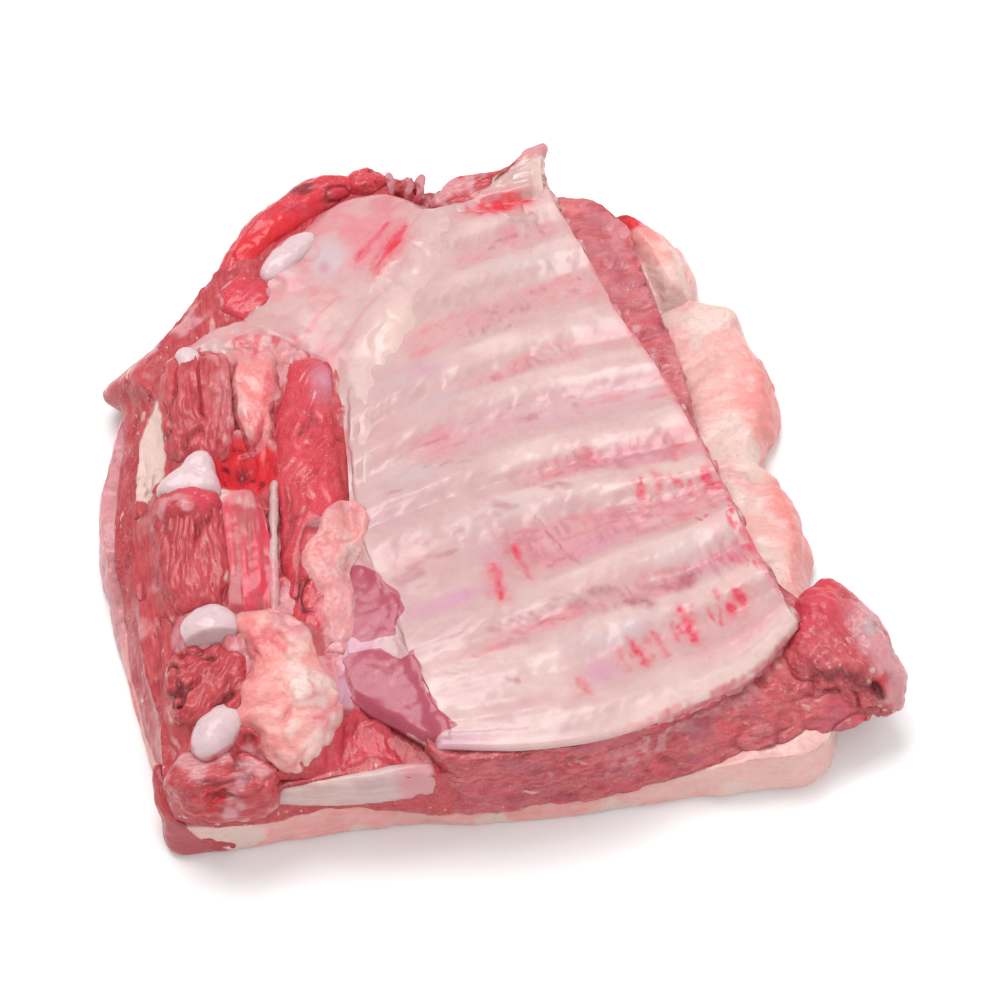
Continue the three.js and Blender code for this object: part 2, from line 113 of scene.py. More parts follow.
def scatter(cells, seed):
    """A number from -1 to 1 for each cell: its whole numbers times large primes, mixed bit by bit."""
    mixed = cells[..., 0] * 73856093 ^ cells[..., 1] * 19349663 ^ cells[..., 2] * 83492791
    mixed = (mixed ^ (seed * 26544357)) & 0xFFFFFFFF
    mixed = ((mixed ^ (mixed >> 15)) * 22468225) & 0xFFFFFFFF
    mixed = ((mixed ^ (mixed >> 13)) * 32664899) & 0xFFFFFFFF
    return ((mixed ^ (mixed >> 16)) & 0xFFFF) / 32767.5 - 1


def noise(points, cell, seed=0):
    """Smooth noise from -1 to 1. Each point's place in its cube, faded by 6t^5 - 15t^4 + 10t^3, weighs the
    random numbers of the cube's eight corners. cell is the cube's size, or three sizes for fibres."""
    place = points / cell
    low = np.floor(place).astype(np.int64)
    part = place - low
    part = part**3 * (part * (part * 6 - 15) + 10)
    total = np.zeros(len(points))
    for corner in np.ndindex(2, 2, 2):
        weight = np.prod(np.where(corner, part, 1 - part), axis=1)
        total += weight * scatter(low + corner, seed)
    return total


def rough(points, cell, seed=0, octaves=3):
    """Noise with finer noise on it: each octave has half the cell and half the height of the last."""
    total = np.zeros(len(points))
    for k in range(octaves):
        total += noise(points @ TWIST, np.asarray(cell) / 2**k, seed + 7 * k) / 2**k
    return total


def dapples(points, cell, seed, low, high):
    """Soft-edged spots from 0 to 1, where a noise rises from low to high."""
    return smooth(noise(points, cell, seed), low, high)


def blotches(points, cell, seed, low, high):
    """The same from the noise that has finer noise on it."""
    return smooth(rough(points, cell, seed), low, high)


def wander(points, cell, *seeds):
    """A noise for each seed, side by side: how far the points wander along each axis."""
    return np.stack([noise(points, cell, seed) for seed in seeds], -1)


def creases(points, cell, seed=0, thin=0.16):
    """Creases from 0 to 1. One runs where a noise is 0: e to the minus square of the noise over thin. A
    second, broad noise lets each crease fade in and out, so that they don't close into rings."""
    near = noise(points, cell, seed) + 0.35 * noise(points, np.asarray(cell) / 2.3, seed + 1)
    gate = dapples(points, np.asarray(cell) * 1.3, seed + 2, -0.35, 0.35)
    return np.exp(-((near / thin) ** 2)) * gate


print("noise ready, first value", round(float(noise(np.array([[1.0, 2.0, 3.0]]), 5)[0]), 4))

# %% [markdown]
# An outline or a path is a smooth curve through a few chosen points, blended from the chords between them.
# Its pace from point to point is the square root of their distance, which keeps it free of loops.

# %% Curves


def curve(points, closed=False):
    """A function that gives the curve's point for t from 0 to 1, at even pace along its length. Each stretch
    blends its four neighbouring points in pairs, three times over, by how far t is from knot to knot."""
    given = np.array([list(p) + [0] * (3 - len(p)) for p in points], float)
    if closed:
        given = np.vstack([given[-1], given, given[0], given[1]])
    else:
        given = np.vstack([2 * given[0] - given[1], given, 2 * given[-1] - given[-2]])
    knots = np.concatenate([[0], np.cumsum(np.sqrt(np.linalg.norm(np.diff(given, axis=0), axis=1)))])
    stretches = []
    for k in range(1, len(given) - 2):
        t = np.linspace(knots[k], knots[k + 1], 40, endpoint=False)[:, None]
        near = (k - 1, k, k + 1)
        pairs = [between(given[j], given[j + 1], (t - knots[j]) / (knots[j + 1] - knots[j])) for j in near]
        early = between(pairs[0], pairs[1], (t - knots[k - 1]) / (knots[k + 1] - knots[k - 1]))
        late = between(pairs[1], pairs[2], (t - knots[k]) / (knots[k + 2] - knots[k]))
        stretches.append(between(early, late, (t - knots[k]) / (knots[k + 1] - knots[k])))
    line = np.vstack([*stretches, given[-2]])
    length = np.concatenate([[0], np.cumsum(np.linalg.norm(np.diff(line, axis=0), axis=1))])

    def at(t):
        t = np.asarray(t, float) % 1 if closed else np.clip(t, 0, 1)
        return np.stack([np.interp(t * length[-1], length, line[:, k]) for k in range(3)], -1)

    at.length = length[-1]
    return at


def even(profile, count):
    """The values from 0 to 1 that split a profile, given as two functions of v, into equal steps."""
    v = np.linspace(0, 1, 2001)
    steps = np.hypot(np.diff(profile[0](v)), np.diff(profile[1](v)))
    length = np.concatenate([[0], np.cumsum(steps)])
    return np.interp(np.linspace(0, length[-1], count), length, v)


loop = curve([[1, 0], [0, 1], [-1, 0], [0, -1]], closed=True)
print("a curve through the corners of a square has length", round(float(loop.length), 3))

# %% [markdown]
# ## A closed surface
# Every piece is a grid of points: rows of rings. Each ring closes on itself, and the first and last ring
# shrink to a point or to a line. Points that meet are welded, and faces that shrink are dropped, so the
# surface is closed. The faces are turned to point outwards by the sign of the volume that they enclose.

# %% Shape


def cells_of(here, open_rows=False):
    """The four corners of each cell of a grid of point numbers; open rows have no cell behind the last."""
    here, ahead = (here[:, :-1], here[:, 1:]) if open_rows else (here, np.roll(here, -1, axis=1))
    return np.stack([here[:-1], ahead[:-1], ahead[1:], here[1:]], -1).reshape(-1, 4)


class Shape:
    """A closed surface: points in millimetres, faces, and what is known at each point. The first grid has
    rings that close on themselves. Other grids are open, and their borders are the first and last ring."""

    def __init__(self, grid, *sheets, **known):
        flat = grid.reshape(-1, 3)
        quads = cells_of(np.arange(len(flat)).reshape(grid.shape[:2]))
        for sheet in sheets:
            numbers = len(flat) + np.arange(sheet.shape[0] * sheet.shape[1]).reshape(sheet.shape[:2])
            quads = np.vstack([quads, cells_of(numbers, open_rows=True)])
            flat = np.vstack([flat, sheet.reshape(-1, 3)])
        places = np.round(flat * WELD).astype(np.int64)
        _, first, which = np.unique(places, axis=0, return_index=True, return_inverse=True)
        quads = which.ravel()[quads]
        apart = quads != np.roll(quads, -1, axis=1)
        self.points = flat[first]
        self.quads = quads[apart.all(1)]
        self.triangles = quads[apart.sum(1) == 3][apart[apart.sum(1) == 3]].reshape(-1, 3)
        self.known = {}
        for name, value in known.items():
            parts = value if isinstance(value, tuple) else (np.broadcast_to(value, grid.shape[:2]),)
            self.known[name] = np.concatenate([np.ravel(part) for part in parts])[first]
        self.paint = {}
        self.grain = self.points.copy()
        if self.volume() < 0:
            self.quads, self.triangles = self.quads[:, ::-1], self.triangles[:, ::-1]

    def corners(self):
        """All faces as triangles."""
        return np.vstack([self.quads[:, [0, 1, 2]], self.quads[:, [0, 2, 3]], self.triangles])

    def volume(self):
        """A sixth of the sum of a . (b x c) over the triangles, in cubic millimetres."""
        a, b, c = (self.points[self.corners()[:, k]] for k in range(3))
        return (a * np.cross(b, c)).sum() / 6

    def normals(self):
        """At each point, the sum of the area vectors of its triangles, made 1 long."""
        corners = self.corners()
        a, b, c = (self.points[corners[:, k]] for k in range(3))
        areas = np.cross(b - a, c - a)
        total = np.stack(
            [np.bincount(corners.T.ravel(), np.tile(areas[:, k], 3), len(self.points)) for k in range(3)], -1
        )
        return total / np.maximum(np.linalg.norm(total, axis=1, keepdims=True), 1e-12)

    def push(self, amount):
        """Moves each point outwards by its own amount."""
        self.points = self.points + self.normals() * amount[:, None]

    def turn_grain(self, degrees, climb=0.0):
        """Points the grain, which the fibres follow, in a direction of the plan; climb tips it up."""
        a, c = np.radians(degrees), np.radians(climb)
        ahead = np.array([np.cos(a) * np.cos(c), np.sin(a) * np.cos(c), np.sin(c)])
        side = np.array([-np.sin(a), np.cos(a), 0])
        self.grain = self.points @ np.stack([ahead, side, np.cross(ahead, side)], -1)
        return self

    def mark(self, **shares):
        """Lays masks of marks over what the piece already has of them: the larger of the two."""
        for name, share in shares.items():
            self.paint[name] = np.maximum(self.paint.get(name, 0), np.clip(share, 0, 1))

    def fade(self, left, *names):
        """Multiplies masks by the share of them that is left."""
        for name in names:
            self.paint[name] = self.paint[name] * left


def joined(shapes):
    """Several shapes as one, which one piece shows."""
    whole = shapes[0]
    for shape in shapes[1:]:
        shift = len(whole.points)
        whole.points = np.vstack([whole.points, shape.points])
        whole.grain = np.vstack([whole.grain, shape.grain])
        whole.quads = np.vstack([whole.quads, shape.quads + shift])
        whole.triangles = np.vstack([whole.triangles, shape.triangles + shift])
        for name in set(whole.paint) | set(shape.paint):
            parts = [s.paint.get(name, np.zeros(n)) for s, n in ((whole, shift), (shape, len(shape.points)))]
            whole.paint[name] = np.concatenate(parts)
    return whole


# %% [markdown]
# The grid's array goes straight into the mesh: vertices, corners and faces by foreach_set, which takes whole
# arrays. The grain and the painted masks go along as attributes, so that the materials can follow them.

# %% From a shape to a Blender piece
made = {}


def piece(name, shape, finish, extra=False):
    """Makes the shape a mesh with its material. The piece stands for the solid of its name, unless it is an
    extra: one that no solid stands for, because it is too thin or too small."""
    name = name if extra else name + "_dressed"
    mesh = bpy.data.meshes.new(name)
    corners = np.concatenate([shape.quads.ravel(), shape.triangles.ravel()])
    sizes = np.repeat([4, 3], [len(shape.quads), len(shape.triangles)])
    mesh.vertices.add(len(shape.points))
    mesh.vertices.foreach_set("co", (shape.points * MM).astype(np.float32).ravel())
    mesh.loops.add(len(corners))
    mesh.loops.foreach_set("vertex_index", corners.astype(np.int32))
    mesh.polygons.add(len(sizes))
    mesh.polygons.foreach_set("loop_start", (np.cumsum(sizes) - sizes).astype(np.int32))
    mesh.update(calc_edges=True)
    mesh.validate()
    mesh.shade_smooth()
    mesh.attributes.new("grain", "FLOAT_VECTOR", "POINT").data.foreach_set(
        "vector", shape.grain.astype(np.float32).ravel()
    )
    for mask, share in shape.paint.items():
        values = np.clip(share, 0, 1).astype(np.float32)
        mesh.attributes.new(mask, "FLOAT", "POINT").data.foreach_set("value", values)
    mesh.materials.append(finish)
    body = bpy.data.objects.new(name, mesh)
    bpy.context.scene.collection.objects.link(body)
    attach(body, "root")
    if not extra:
        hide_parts(name.removesuffix("_dressed"))
    made[name] = len(sizes)
    print(f"{name}: {len(sizes)} faces, {shape.volume() / 1000:.1f} ml")


# %% [markdown]
# ## Kinds of shape
# The frame's solids are of four kinds, and the fine surfaces repeat their formulas with many more rings:
# layers, bundles, lumps and cushions.

# %% Layers
FLAT_INSET = 7  # width of the rounded rim round the flat underside
FOOT = 0.2  # share of a layer's height that the rounded rim takes


def layer(outline, heart, slant, top, base, bulge, around, tops, walls):
    """A layer of meat or fat. Its rings run from the middle of the underside out to the rim, up the side and
    back to the middle of the top. On the way up, the share k of the lean is reached at the height
    FOOT + (1 - FOOT) (1 - (1 - k)^bulge), between the base and the top at that place."""
    rim = curve(outline, closed=True)(np.arange(around) / around)[:, :2]
    heart = np.array(heart, float)
    reach = np.linalg.norm(rim - heart, axis=1)
    lean = slant(rim[:, 0], rim[:, 1])
    quarter = np.linspace(0, np.pi / 2, 9)[1:, None]
    k = np.linspace(0, 1, walls)[1:, None]
    inward = np.linspace(0, 1, tops)[1:, None] ** 1.3
    shares = np.vstack([
        between(1, FLAT_INSET / reach, np.linspace(0, 1, 9)[:, None]),
        FLAT_INSET * (1 - np.sin(quarter)) / reach,
        k * lean / reach,
        between(lean / reach, 1, inward),
    ])
    rises = np.vstack([
        np.zeros((9, 1)), FOOT * (1 - np.cos(quarter)), FOOT + (1 - FOOT) * (1 - (1 - k) ** bulge),
        np.ones((tops - 1, 1)),
    ])
    place = between(rim, heart, shares[..., None])
    x, y = place[..., 0], place[..., 1]
    grid = np.dstack([x, y, between(base(x, y), top(x, y), rises)])
    for _ in range(2):
        grid[1:-1] = (grid[:-2] + 2 * grid[1:-1] + grid[2:]) / 4
    return Shape(grid)


# %% [markdown]
# A bundle is an oval carried along a path: a strip of muscle, a strip of fat or a bone. Both ends are
# rounded by the arch, whose power says how blunt they are.

# %% Bundles


def bundle(path, wide, high, ends=0.5, taper=1.0, waves=0, sway=0.0, sides=72, fine=1.1):
    """An oval section, whose size is the arch of v times the taper and the waves, carried along the path."""
    line = curve(path)

    def spot(v):
        return (1 - np.cos(np.pi * v)) / 2

    def full(v):
        return arch(v, ends * 0.8 + 0.2) * between(taper, 1, spot(v))

    steps = max(int(line.length / fine), 24)
    v = even((lambda v: line.length * spot(v), lambda v: full(v) * (wide + high) / 4), steps)
    at = spot(v)
    ahead = line(np.minimum(at + 0.02, 1)) - line(np.maximum(at - 0.02, 0))
    side = np.stack([-ahead[:, 1], ahead[:, 0], np.zeros(len(at))], -1)
    side /= np.linalg.norm(side, axis=1, keepdims=True)
    up = np.cross(ahead, side)
    up /= np.linalg.norm(up, axis=1, keepdims=True)
    angle = TURN * np.arange(sides) / sides
    ripple = 1 + sway * np.sin(waves * TURN * at)
    across = (wide / 2 * full(v) * ripple)[:, None] * np.cos(angle)
    lift = (high / 2 * full(v))[:, None] * np.sin(angle)
    grid = line(at)[:, None] + side[:, None] * across[..., None] + up[:, None] * lift[..., None]
    shape = Shape(grid, along=(at * line.length)[:, None], across=across, lift=lift)
    shape.grain = np.stack([shape.known["along"], shape.known["across"], shape.known["lift"]], -1)
    return shape


# %% [markdown]
# A lump is a turned ellipsoid with lobes, and a cushion is a closed outline domed above and below. Their
# rings are spread evenly along the profile, so that the relief comes out equally fine everywhere.

# %% Lumps and cushions


def lump(at, size, turn=0.0, lobes=0, depth=0.0, sides=96, fine=0.8):
    """An ellipsoid of the given size, turned in plan, whose ring swells by depth times a cosine."""
    profile = (lambda v: size[0] / 2 * np.sin(np.pi * v), lambda v: size[2] / 2 * np.cos(np.pi * v))
    polar = np.pi * even(profile, max(int(sum(size) / 2 / fine), 16))[:, None]
    angle = TURN * np.arange(sides) / sides
    ring = arch(polar / np.pi) * (1 + depth * np.cos(lobes * angle))
    a = np.radians(turn)
    x, y = size[0] / 2 * ring * np.cos(angle), size[1] / 2 * ring * np.sin(angle)
    z = np.broadcast_to(-size[2] / 2 * np.cos(polar), x.shape)
    grid = np.dstack([x * np.cos(a) - y * np.sin(a), x * np.sin(a) + y * np.cos(a), z]) + np.array(at)
    return Shape(grid, ring=ring, rise=(1 - np.cos(polar)) / 2)


def cushion(outline, heart, low, high, square=0.6, tilt=0.0, around=200, fine=0.8):
    """A closed outline in plan whose share, the arch of v to the power square, is left at the height that
    the cosine gives between low and high."""
    rim = curve(outline, closed=True)(np.arange(around) / around)[:, :2]
    heart = np.array(heart, float)
    reach = np.linalg.norm(rim - heart, axis=1).mean()

    def rise(v):
        return (1 - np.cos(np.pi * v)) / 2

    profile = (lambda v: reach * arch(v, square), lambda v: (high - low) * rise(v))
    v = even(profile, max(int((2 * reach + high - low) / fine), 20))[:, None]
    ring = arch(v, square)
    place = between(heart, rim, np.broadcast_to(ring, (len(v), around))[..., None])
    z = between(low, high, rise(v)) + tilt * (place[..., 1] - heart[1])
    return Shape(np.dstack([place, z]), ring=ring, rise=rise(v))


print("a lump of 10 mm holds", round(lump([0, 0, 0], [10, 10, 10]).volume()), "cubic millimetres, a ball",
      round(np.pi / 6 * 1000))

# %% [markdown]
# ## Materials as sums
# A material is a graph of nodes. Written as sums it reads better: a small class wraps a socket, and adding
# or multiplying two of them adds the Math node that does it. Colours go through Mix nodes, because a Math
# node would turn them grey.

# %% Shader maths


class Value:
    """A socket whose sums, differences and products add Math nodes."""

    def __init__(self, finish, socket):
        self.finish, self.socket = finish, socket

    def maths(self, operation, first, second):
        return self.finish.node("ShaderNodeMath", {"operation": operation}, {0: first, 1: second})

    def __add__(self, other):
        return self.maths("ADD", self, other)

    def __sub__(self, other):
        return self.maths("SUBTRACT", self, other)

    def __mul__(self, other):
        return self.maths("MULTIPLY", self, other)

    __radd__ = __add__


class Finish:
    """A material in the making. Its node method makes any node from a type, its settings and its inputs."""

    def __init__(self, name):
        self.material = bpy.data.materials.new(name)
        self.material.use_nodes = True
        self.material.node_tree.nodes.clear()
        self.object_place = self.node("ShaderNodeTexCoord", output="Object")
        self.grain = self.node("ShaderNodeAttribute", {"attribute_name": "grain"}, output="Vector")

    def node(self, kind, settings=None, inputs=None, output=0):
        new = self.material.node_tree.nodes.new(kind)
        for name, value in (settings or {}).items():
            setattr(new, name, value)
        for name, value in (inputs or {}).items():
            if isinstance(value, Value):
                self.material.node_tree.links.new(value.socket, new.inputs[name])
            else:
                new.inputs[name].default_value = value
        return Value(self, new.outputs[output])

    def shown(self, surface):
        """Links the surface to the output and gives the material."""
        end = self.material.node_tree.nodes.new("ShaderNodeOutputMaterial")
        self.material.node_tree.links.new(surface.socket, end.inputs["Surface"])
        return self.material

    def blend(self, first, second, share):
        """A colour between two colours."""
        return self.node("ShaderNodeMix", {"data_type": "RGBA"}, {0: share, 6: first, 7: second}, 2)

    def step(self, value, low, high):
        """0 below low and 1 above high, with a smooth step between."""
        ends = {"Value": value, "From Min": low, "From Max": high}
        return self.node("ShaderNodeMapRange", {"interpolation_type": "SMOOTHSTEP"}, ends)

    def mask(self, name):
        """A mask painted on the points, 0 where the piece has none."""
        return self.node("ShaderNodeAttribute", {"attribute_name": name}, output="Fac")

    def cloud(self, cell, detail=2.0, skew=0.0):
        """Noise from 0 to 1 in space, with cells of so many millimetres."""
        ends = {"Vector": self.object_place, "Scale": 1 / (cell * MM), "Detail": detail, "Distortion": skew}
        return self.node("ShaderNodeTexNoise", None, ends)

    def strands(self, long, thin, detail=2.0, skew=0.3):
        """Noise drawn out along the grain."""
        sizes = {"Vector": self.grain, "Scale": (1 / long, 1 / thin, 1 / thin)}
        drawn = self.node("ShaderNodeMapping", {"vector_type": "POINT"}, sizes)
        ends = {"Vector": drawn, "Scale": 1.0, "Detail": detail, "Distortion": skew}
        return self.node("ShaderNodeTexNoise", None, ends)

    def lobes(self, cell):
        """Rounded cells, as the lobules of fat: 0 at a cell's middle, 1 far from it."""
        ends = {"Vector": self.object_place, "Scale": 1 / (cell * MM), "Smoothness": 0.35, "Randomness": 1.0}
        return self.node("ShaderNodeTexVoronoi", {"feature": "SMOOTH_F1"}, ends)


DIM = 0.74  # the lights make a white floor white, and the slab's top catches a little more light than that


def tone(red, green, blue):
    """A colour as the lit slab shows it, from 0 to 255, turned into the share of light that it sends back."""
    part = np.array([red, green, blue]) / 255
    light = np.where(part <= 0.04045, part / 12.92, ((part + 0.055) / 1.055) ** 2.4) * DIM
    return (*light.tolist(), 1.0)


print("cream in light:", np.round(tone(231, 202, 198), 3))

# %% [markdown]
# Raw meat is wet and lets light in, so each finish has some subsurface light, a soft shine with uneven
# roughness, and a thin clear coat. On top of its own two tones lie the marks, from pale to dark: each mark is
# a mask painted on the points, with an edge that a noise makes ragged. Stains, and the mark of bruises and
# painted shade, have no edge: they are as strong as their mask. The dark mark is mostly painted shade, laid
# in creases, folds, pits and hollows; on a few pieces it is the flesh's own dark tone.

# %% The finish of all tissue
MARKS = {
    "milk": (tone(236, 204, 198), 0.5),
    "cream": (tone(238, 205, 196), 0.30),
    "pearl": (tone(208, 184, 188), 0.5),
    "violet": (tone(212, 154, 174), 0.5),
    "salmon": (tone(242, 140, 134), 0.4),
    "rose": (tone(221, 150, 155), 0.42),
    "purple": (tone(184, 82, 102), 0.2),
    "lean": (tone(192, 88, 94), 0.22),
    "stain": (tone(222, 62, 86), None),
    "bruise": (tone(176, 88, 108), None),
    "blood": (tone(228, 46, 56), 0.34),
    "dark": (tone(112, 22, 32), 0.35),
}


def tissue(name, base, patch, strand, marks, lobe=None, fleck=None, gloss=0.36, dents=0.3, light_in=0.25):
    """A wet finish. patch, lobe and fleck are (tone, cell, share), strand is (tone, long, thin, share) along
    the grain, and marks are names of MARKS."""
    f = Finish(name)
    soft = f.cloud(patch[1], 3.0, 0.4)
    colour = f.blend(base, patch[0], f.step(soft, 0.36, 0.66) * patch[2])
    drawn = f.strands(strand[1], strand[2])
    colour = f.blend(colour, strand[0], f.step(drawn, 0.40, 0.66) * strand[3])
    grit = f.cloud(0.55, 2.0)
    height = drawn * 0.6 + grit * 0.25 + soft * 0.3
    if lobe:
        cells = f.lobes(lobe[1])
        colour = f.blend(colour, lobe[0], f.step(cells, 0.25, 0.75) * lobe[2])
        height = height - cells * 0.9
    if fleck:
        spots = f.step(f.cloud(fleck[1], 2.0, 1.2), 0.60, 0.68)
        colour = f.blend(colour, fleck[0], spots * fleck[2])
        height = height + spots * 0.25
    ragged = f.strands(7.0, 1.1, 3.0, 0.5) * 0.6 + f.cloud(1.8, 3.0) * 0.4
    cloudy = f.cloud(5.0, 4.0, 0.6)
    for mark in marks:
        paint, spread = MARKS[mark]
        share = f.mask(mark)
        if spread is None:
            worn = share * (ragged + 0.45)
        elif spread > 0.4:
            worn = f.step(share + (cloudy - 0.5) * (share * 1.3), 0.5 - spread, 0.5 + spread)
        else:
            worn = f.step(share + (ragged - 0.5) * (share * 1.2), 0.5 - spread, 0.5 + spread)
        colour = f.blend(colour, paint, worn)
    shine = f.cloud(3.0, 2.0)
    bump = f.node("ShaderNodeBump", None, {"Height": height, "Distance": dents * MM, "Strength": 1.0})
    surface = f.node("ShaderNodeBsdfPrincipled", None, {
        "Base Color": colour,
        "Roughness": gloss + (shine - 0.5) * 0.35,
        "Normal": bump,
        "Subsurface Weight": light_in,
        "Subsurface Radius": (1.0, 0.36, 0.24),
        "Subsurface Scale": 2.2 * MM,
        "Specular IOR Level": 0.36,
        "Coat Weight": 0.22,
        "Coat Roughness": 0.13,
        "IOR": 1.38,
    })
    return f.shown(surface)


print("marks:", ", ".join(MARKS))

# %% [markdown]
# ## The rib sheet
# The inside of the rib cage is one milky membrane over the ribs and the muscle between them. It is modelled
# as on the frame: four edge curves, blended across the sheet, and ridges over the ribs.

# %% Where the sheet lies
FRONT = curve([[-16, -133], [11, -133], [38, -128], [55, -121], [72, -111], [90, -100], [108, -78]])
BACK = curve([[-34, 104], [-22, 111], [-7, 118], [6, 127], [21, 139]])
LEFT = curve([[-16, -133], [-20, -114], [-28, -97], [-32, -79], [-43, -54], [-48, -24], [-51, 12], [-49, 43],
              [-42, 78], [-34, 104]])
RIGHT = curve([[108, -78], [98, -52], [92, -37], [84, -14], [74, 12], [62, 40], [48, 66], [37, 95],
               [27, 117], [21, 139]])
RIBS = np.array([
    [0.024, 0.05, 0.03], [0.1, 0.165, 0.105], [0.17, 0.252, 0.225], [0.345, 0.408, 0.31],
    [0.415, 0.487, 0.43], [0.505, 0.608, 0.54], [0.59, 0.69, 0.66], [0.76, 0.838, 0.81], [0.9, 0.936, 0.93],
])
LENGTH, WIDTH = 150, 245  # of the sheet, along the ribs and across them
RIDGE = 2.6  # height of the ridge over a rib
BONE_WIDTH, BONE_HEIGHT, BONE_DEPTH = 11, 6.5, 1.6  # of a rib, and how far it lies below the sheet's top


def sheet_plan(u, v):
    """The blend of the front and back curves, plus the blend of the left and right ones, less that of the
    four corners."""
    u, v = np.broadcast_arrays(np.asarray(u, float), v)
    ends = [between(side(0), side(1), v[..., None]) for side in (LEFT, RIGHT)]
    along = between(FRONT(u), BACK(u), v[..., None])
    across = between(LEFT(v), RIGHT(v), u[..., None])
    return (along + across - between(ends[0], ends[1], u[..., None]))[..., :2]


def arched(u, w):
    """The place v of the line w, which is named by its place in the middle of the sheet: a parabola in u
    through its places at the left, in the middle and at the right."""
    known = np.vstack([[0, 0, 0], RIBS, [1, 1, 1]])
    left, right = (np.interp(w, known[:, 1], known[:, k]) for k in (0, 2))
    return left * (1 - u) * (1 - 2 * u) + w * 4 * u * (1 - u) + right * u * (2 * u - 1)


def sheet_top(u, w):
    """A height that falls from left to right and sags in the middle, with a ridge over each rib."""
    nearest = np.abs(np.asarray(w)[..., None] - RIBS[:, 1]).min(-1)
    ridge = fall(nearest, 0.013, 0.045)
    return between(48, 40, smooth(u, 0, 1)) - 2.2 * arch(u) * arch(w) + RIDGE * (ridge - 1)


def sheet_bottom(u):
    return between(35.5, 29.5, smooth(u, 0, 1))


def on_sheet(u, w):
    """A point of the sheet's top in space."""
    plan = sheet_plan(u, arched(u, w))
    return np.concatenate([plan, sheet_top(u, w)[..., None]], -1)


print("the middle of the sheet lies at", np.round(on_sheet(np.array(0.5), np.array(0.5)), 1).tolist())

# %% [markdown]
# The top is a fine grid, with extra lines close to its edges so that they can be rounded. The sides and the
# underside are rings round it, which shrink to a point below. The front edge is rolled over more and more
# towards the belly side, as the membrane is there.

# %% The sheet's surface
EDGE = np.array([0, 0.12, 0.4, 0.85, 1.45, 2.2])  # millimetres from the edge, of the extra lines


def rib_sheet(columns=214, rows=322):
    """Each point of the top drops by r - sqrt(r^2 - (r - d)^2), d from an edge that is rounded by r."""
    us, ws = [
        np.concatenate([EDGE / size, np.linspace(3 / size, 1 - 3 / size, count), 1 - EDGE[::-1] / size])
        for size, count in ((LENGTH, columns), (WIDTH, rows))
    ]
    w, u = np.meshgrid(ws, us, indexing="ij")
    roll = between(1.0, 3.4, smooth(u, 0.45, 0.85))
    drop = np.zeros(u.shape)
    for gap, radius in ((w * WIDTH, roll), ((1 - w) * WIDTH, 2), (u * LENGTH, 2), ((1 - u) * LENGTH, 1)):
        short = np.clip(radius - gap, 0, None)
        drop = np.maximum(drop, radius - np.sqrt(radius**2 - short**2))
    top = on_sheet(u, w)
    top[..., 2] -= drop
    rim = np.concatenate([
        np.arange(len(us)), np.arange(1, len(ws)) * len(us) + len(us) - 1,
        (len(ws) - 1) * len(us) + np.arange(len(us) - 2, -1, -1), np.arange(len(ws) - 2, 0, -1) * len(us),
    ])[::-1]
    edge, rim_u, rim_w = top.reshape(-1, 3)[rim], u.ravel()[rim], w.ravel()[rim]
    down = np.linspace(0, 1, 13)[:, None]
    walls = np.repeat(edge[None], 13, axis=0)
    walls[..., 2] = between(edge[:, 2], sheet_bottom(rim_u), down)
    heart = np.array([25, 0, 33.0])
    under = between(walls[-1], heart, np.array([0.25, 0.6, 1])[:, None, None])
    rings = np.vstack([walls, under])
    sunk = np.vstack([down, np.ones((3, 1))])
    known = {}
    for name, value, at_rim in (("u", u, rim_u), ("w", w, rim_w)):
        known[name] = (np.broadcast_to(at_rim, rings.shape[:2]), value)
    known["sunk"] = (np.broadcast_to(sunk, rings.shape[:2]), u * 0)
    return Shape(rings, top, **known)


sheet = rib_sheet()
print("rib sheet:", len(sheet.points), "points,", round(sheet.volume() / 1000), "ml")

# %% [markdown]
# ## Marks of the membrane
# Between the ribs the red muscle shows through, in bands that fade towards the backbone. On the bands lie
# short bright strokes where the membrane is thin. Marks are painted on the points as masks, in places that
# are given along and across the ribs.

# %% Painting marks


def strokes(points, lines, width, waver=0.25):
    """A mask of short strokes in plan: e to the minus squared distance to the nearest line over squared
    width, the distance being uneven by a noise. A stroke thins towards its ends. A line is x and y of its
    ends, and may end with its own share of the width and its strength."""
    total = np.zeros(len(points))
    flat = points[:, :2] + waver * width * wander(points, 2.1, 31, 32)
    for x0, y0, x1, y1, *own in lines:
        wide, strength = own or (1.0, 1.0)
        near = np.nonzero((np.abs(flat - [(x0 + x1) / 2, (y0 + y1) / 2]) < 30).all(1))[0]
        run = np.array([x1 - x0, y1 - y0])
        share = np.clip((flat[near] - [x0, y0]) @ run / (run @ run), 0, 1)
        away = np.linalg.norm(flat[near] - [x0, y0] - share[:, None] * run, axis=1)
        slim = width * wide * (0.6 + 0.4 * arch(share))
        total[near] = np.maximum(total[near], strength * np.exp(-((away / slim) ** 2)))
    return total


def band(u, w, middle, half, start, end, ragged=0.0):
    """A band along the ribs: 1 within half of its width, 0 beyond one and a half of it, with faded ends."""
    side = fall(np.abs(w - middle) + ragged, half * 0.45, half * 1.35)
    return side * smooth(u, start - 0.08, start + 0.14) * fall(u, end - 0.03, end + 0.05)


UPPER = [[-54, -57], [-45, -56], [-38, -62], [-32, -70], [-28, -77], [-31, -83], [-31, -88], [-44, -90],
         [-54, -82]]
LOWER = [[-50, -94], [-37, -93], [-30, -98], [-25, -95], [-22, -104], [-20, -111], [-16, -118], [-10, -125],
         [-18, -131], [-36, -120], [-52, -112]]


def purple(points):
    """Where the thin muscle shows through the membrane: inside two outlines in plan, wavy by a noise."""
    wavy = points[:, :2] + wander(points, 5, 404, 405)
    return np.maximum(within(wavy, UPPER, 0.9), within(wavy, LOWER, 0.9))


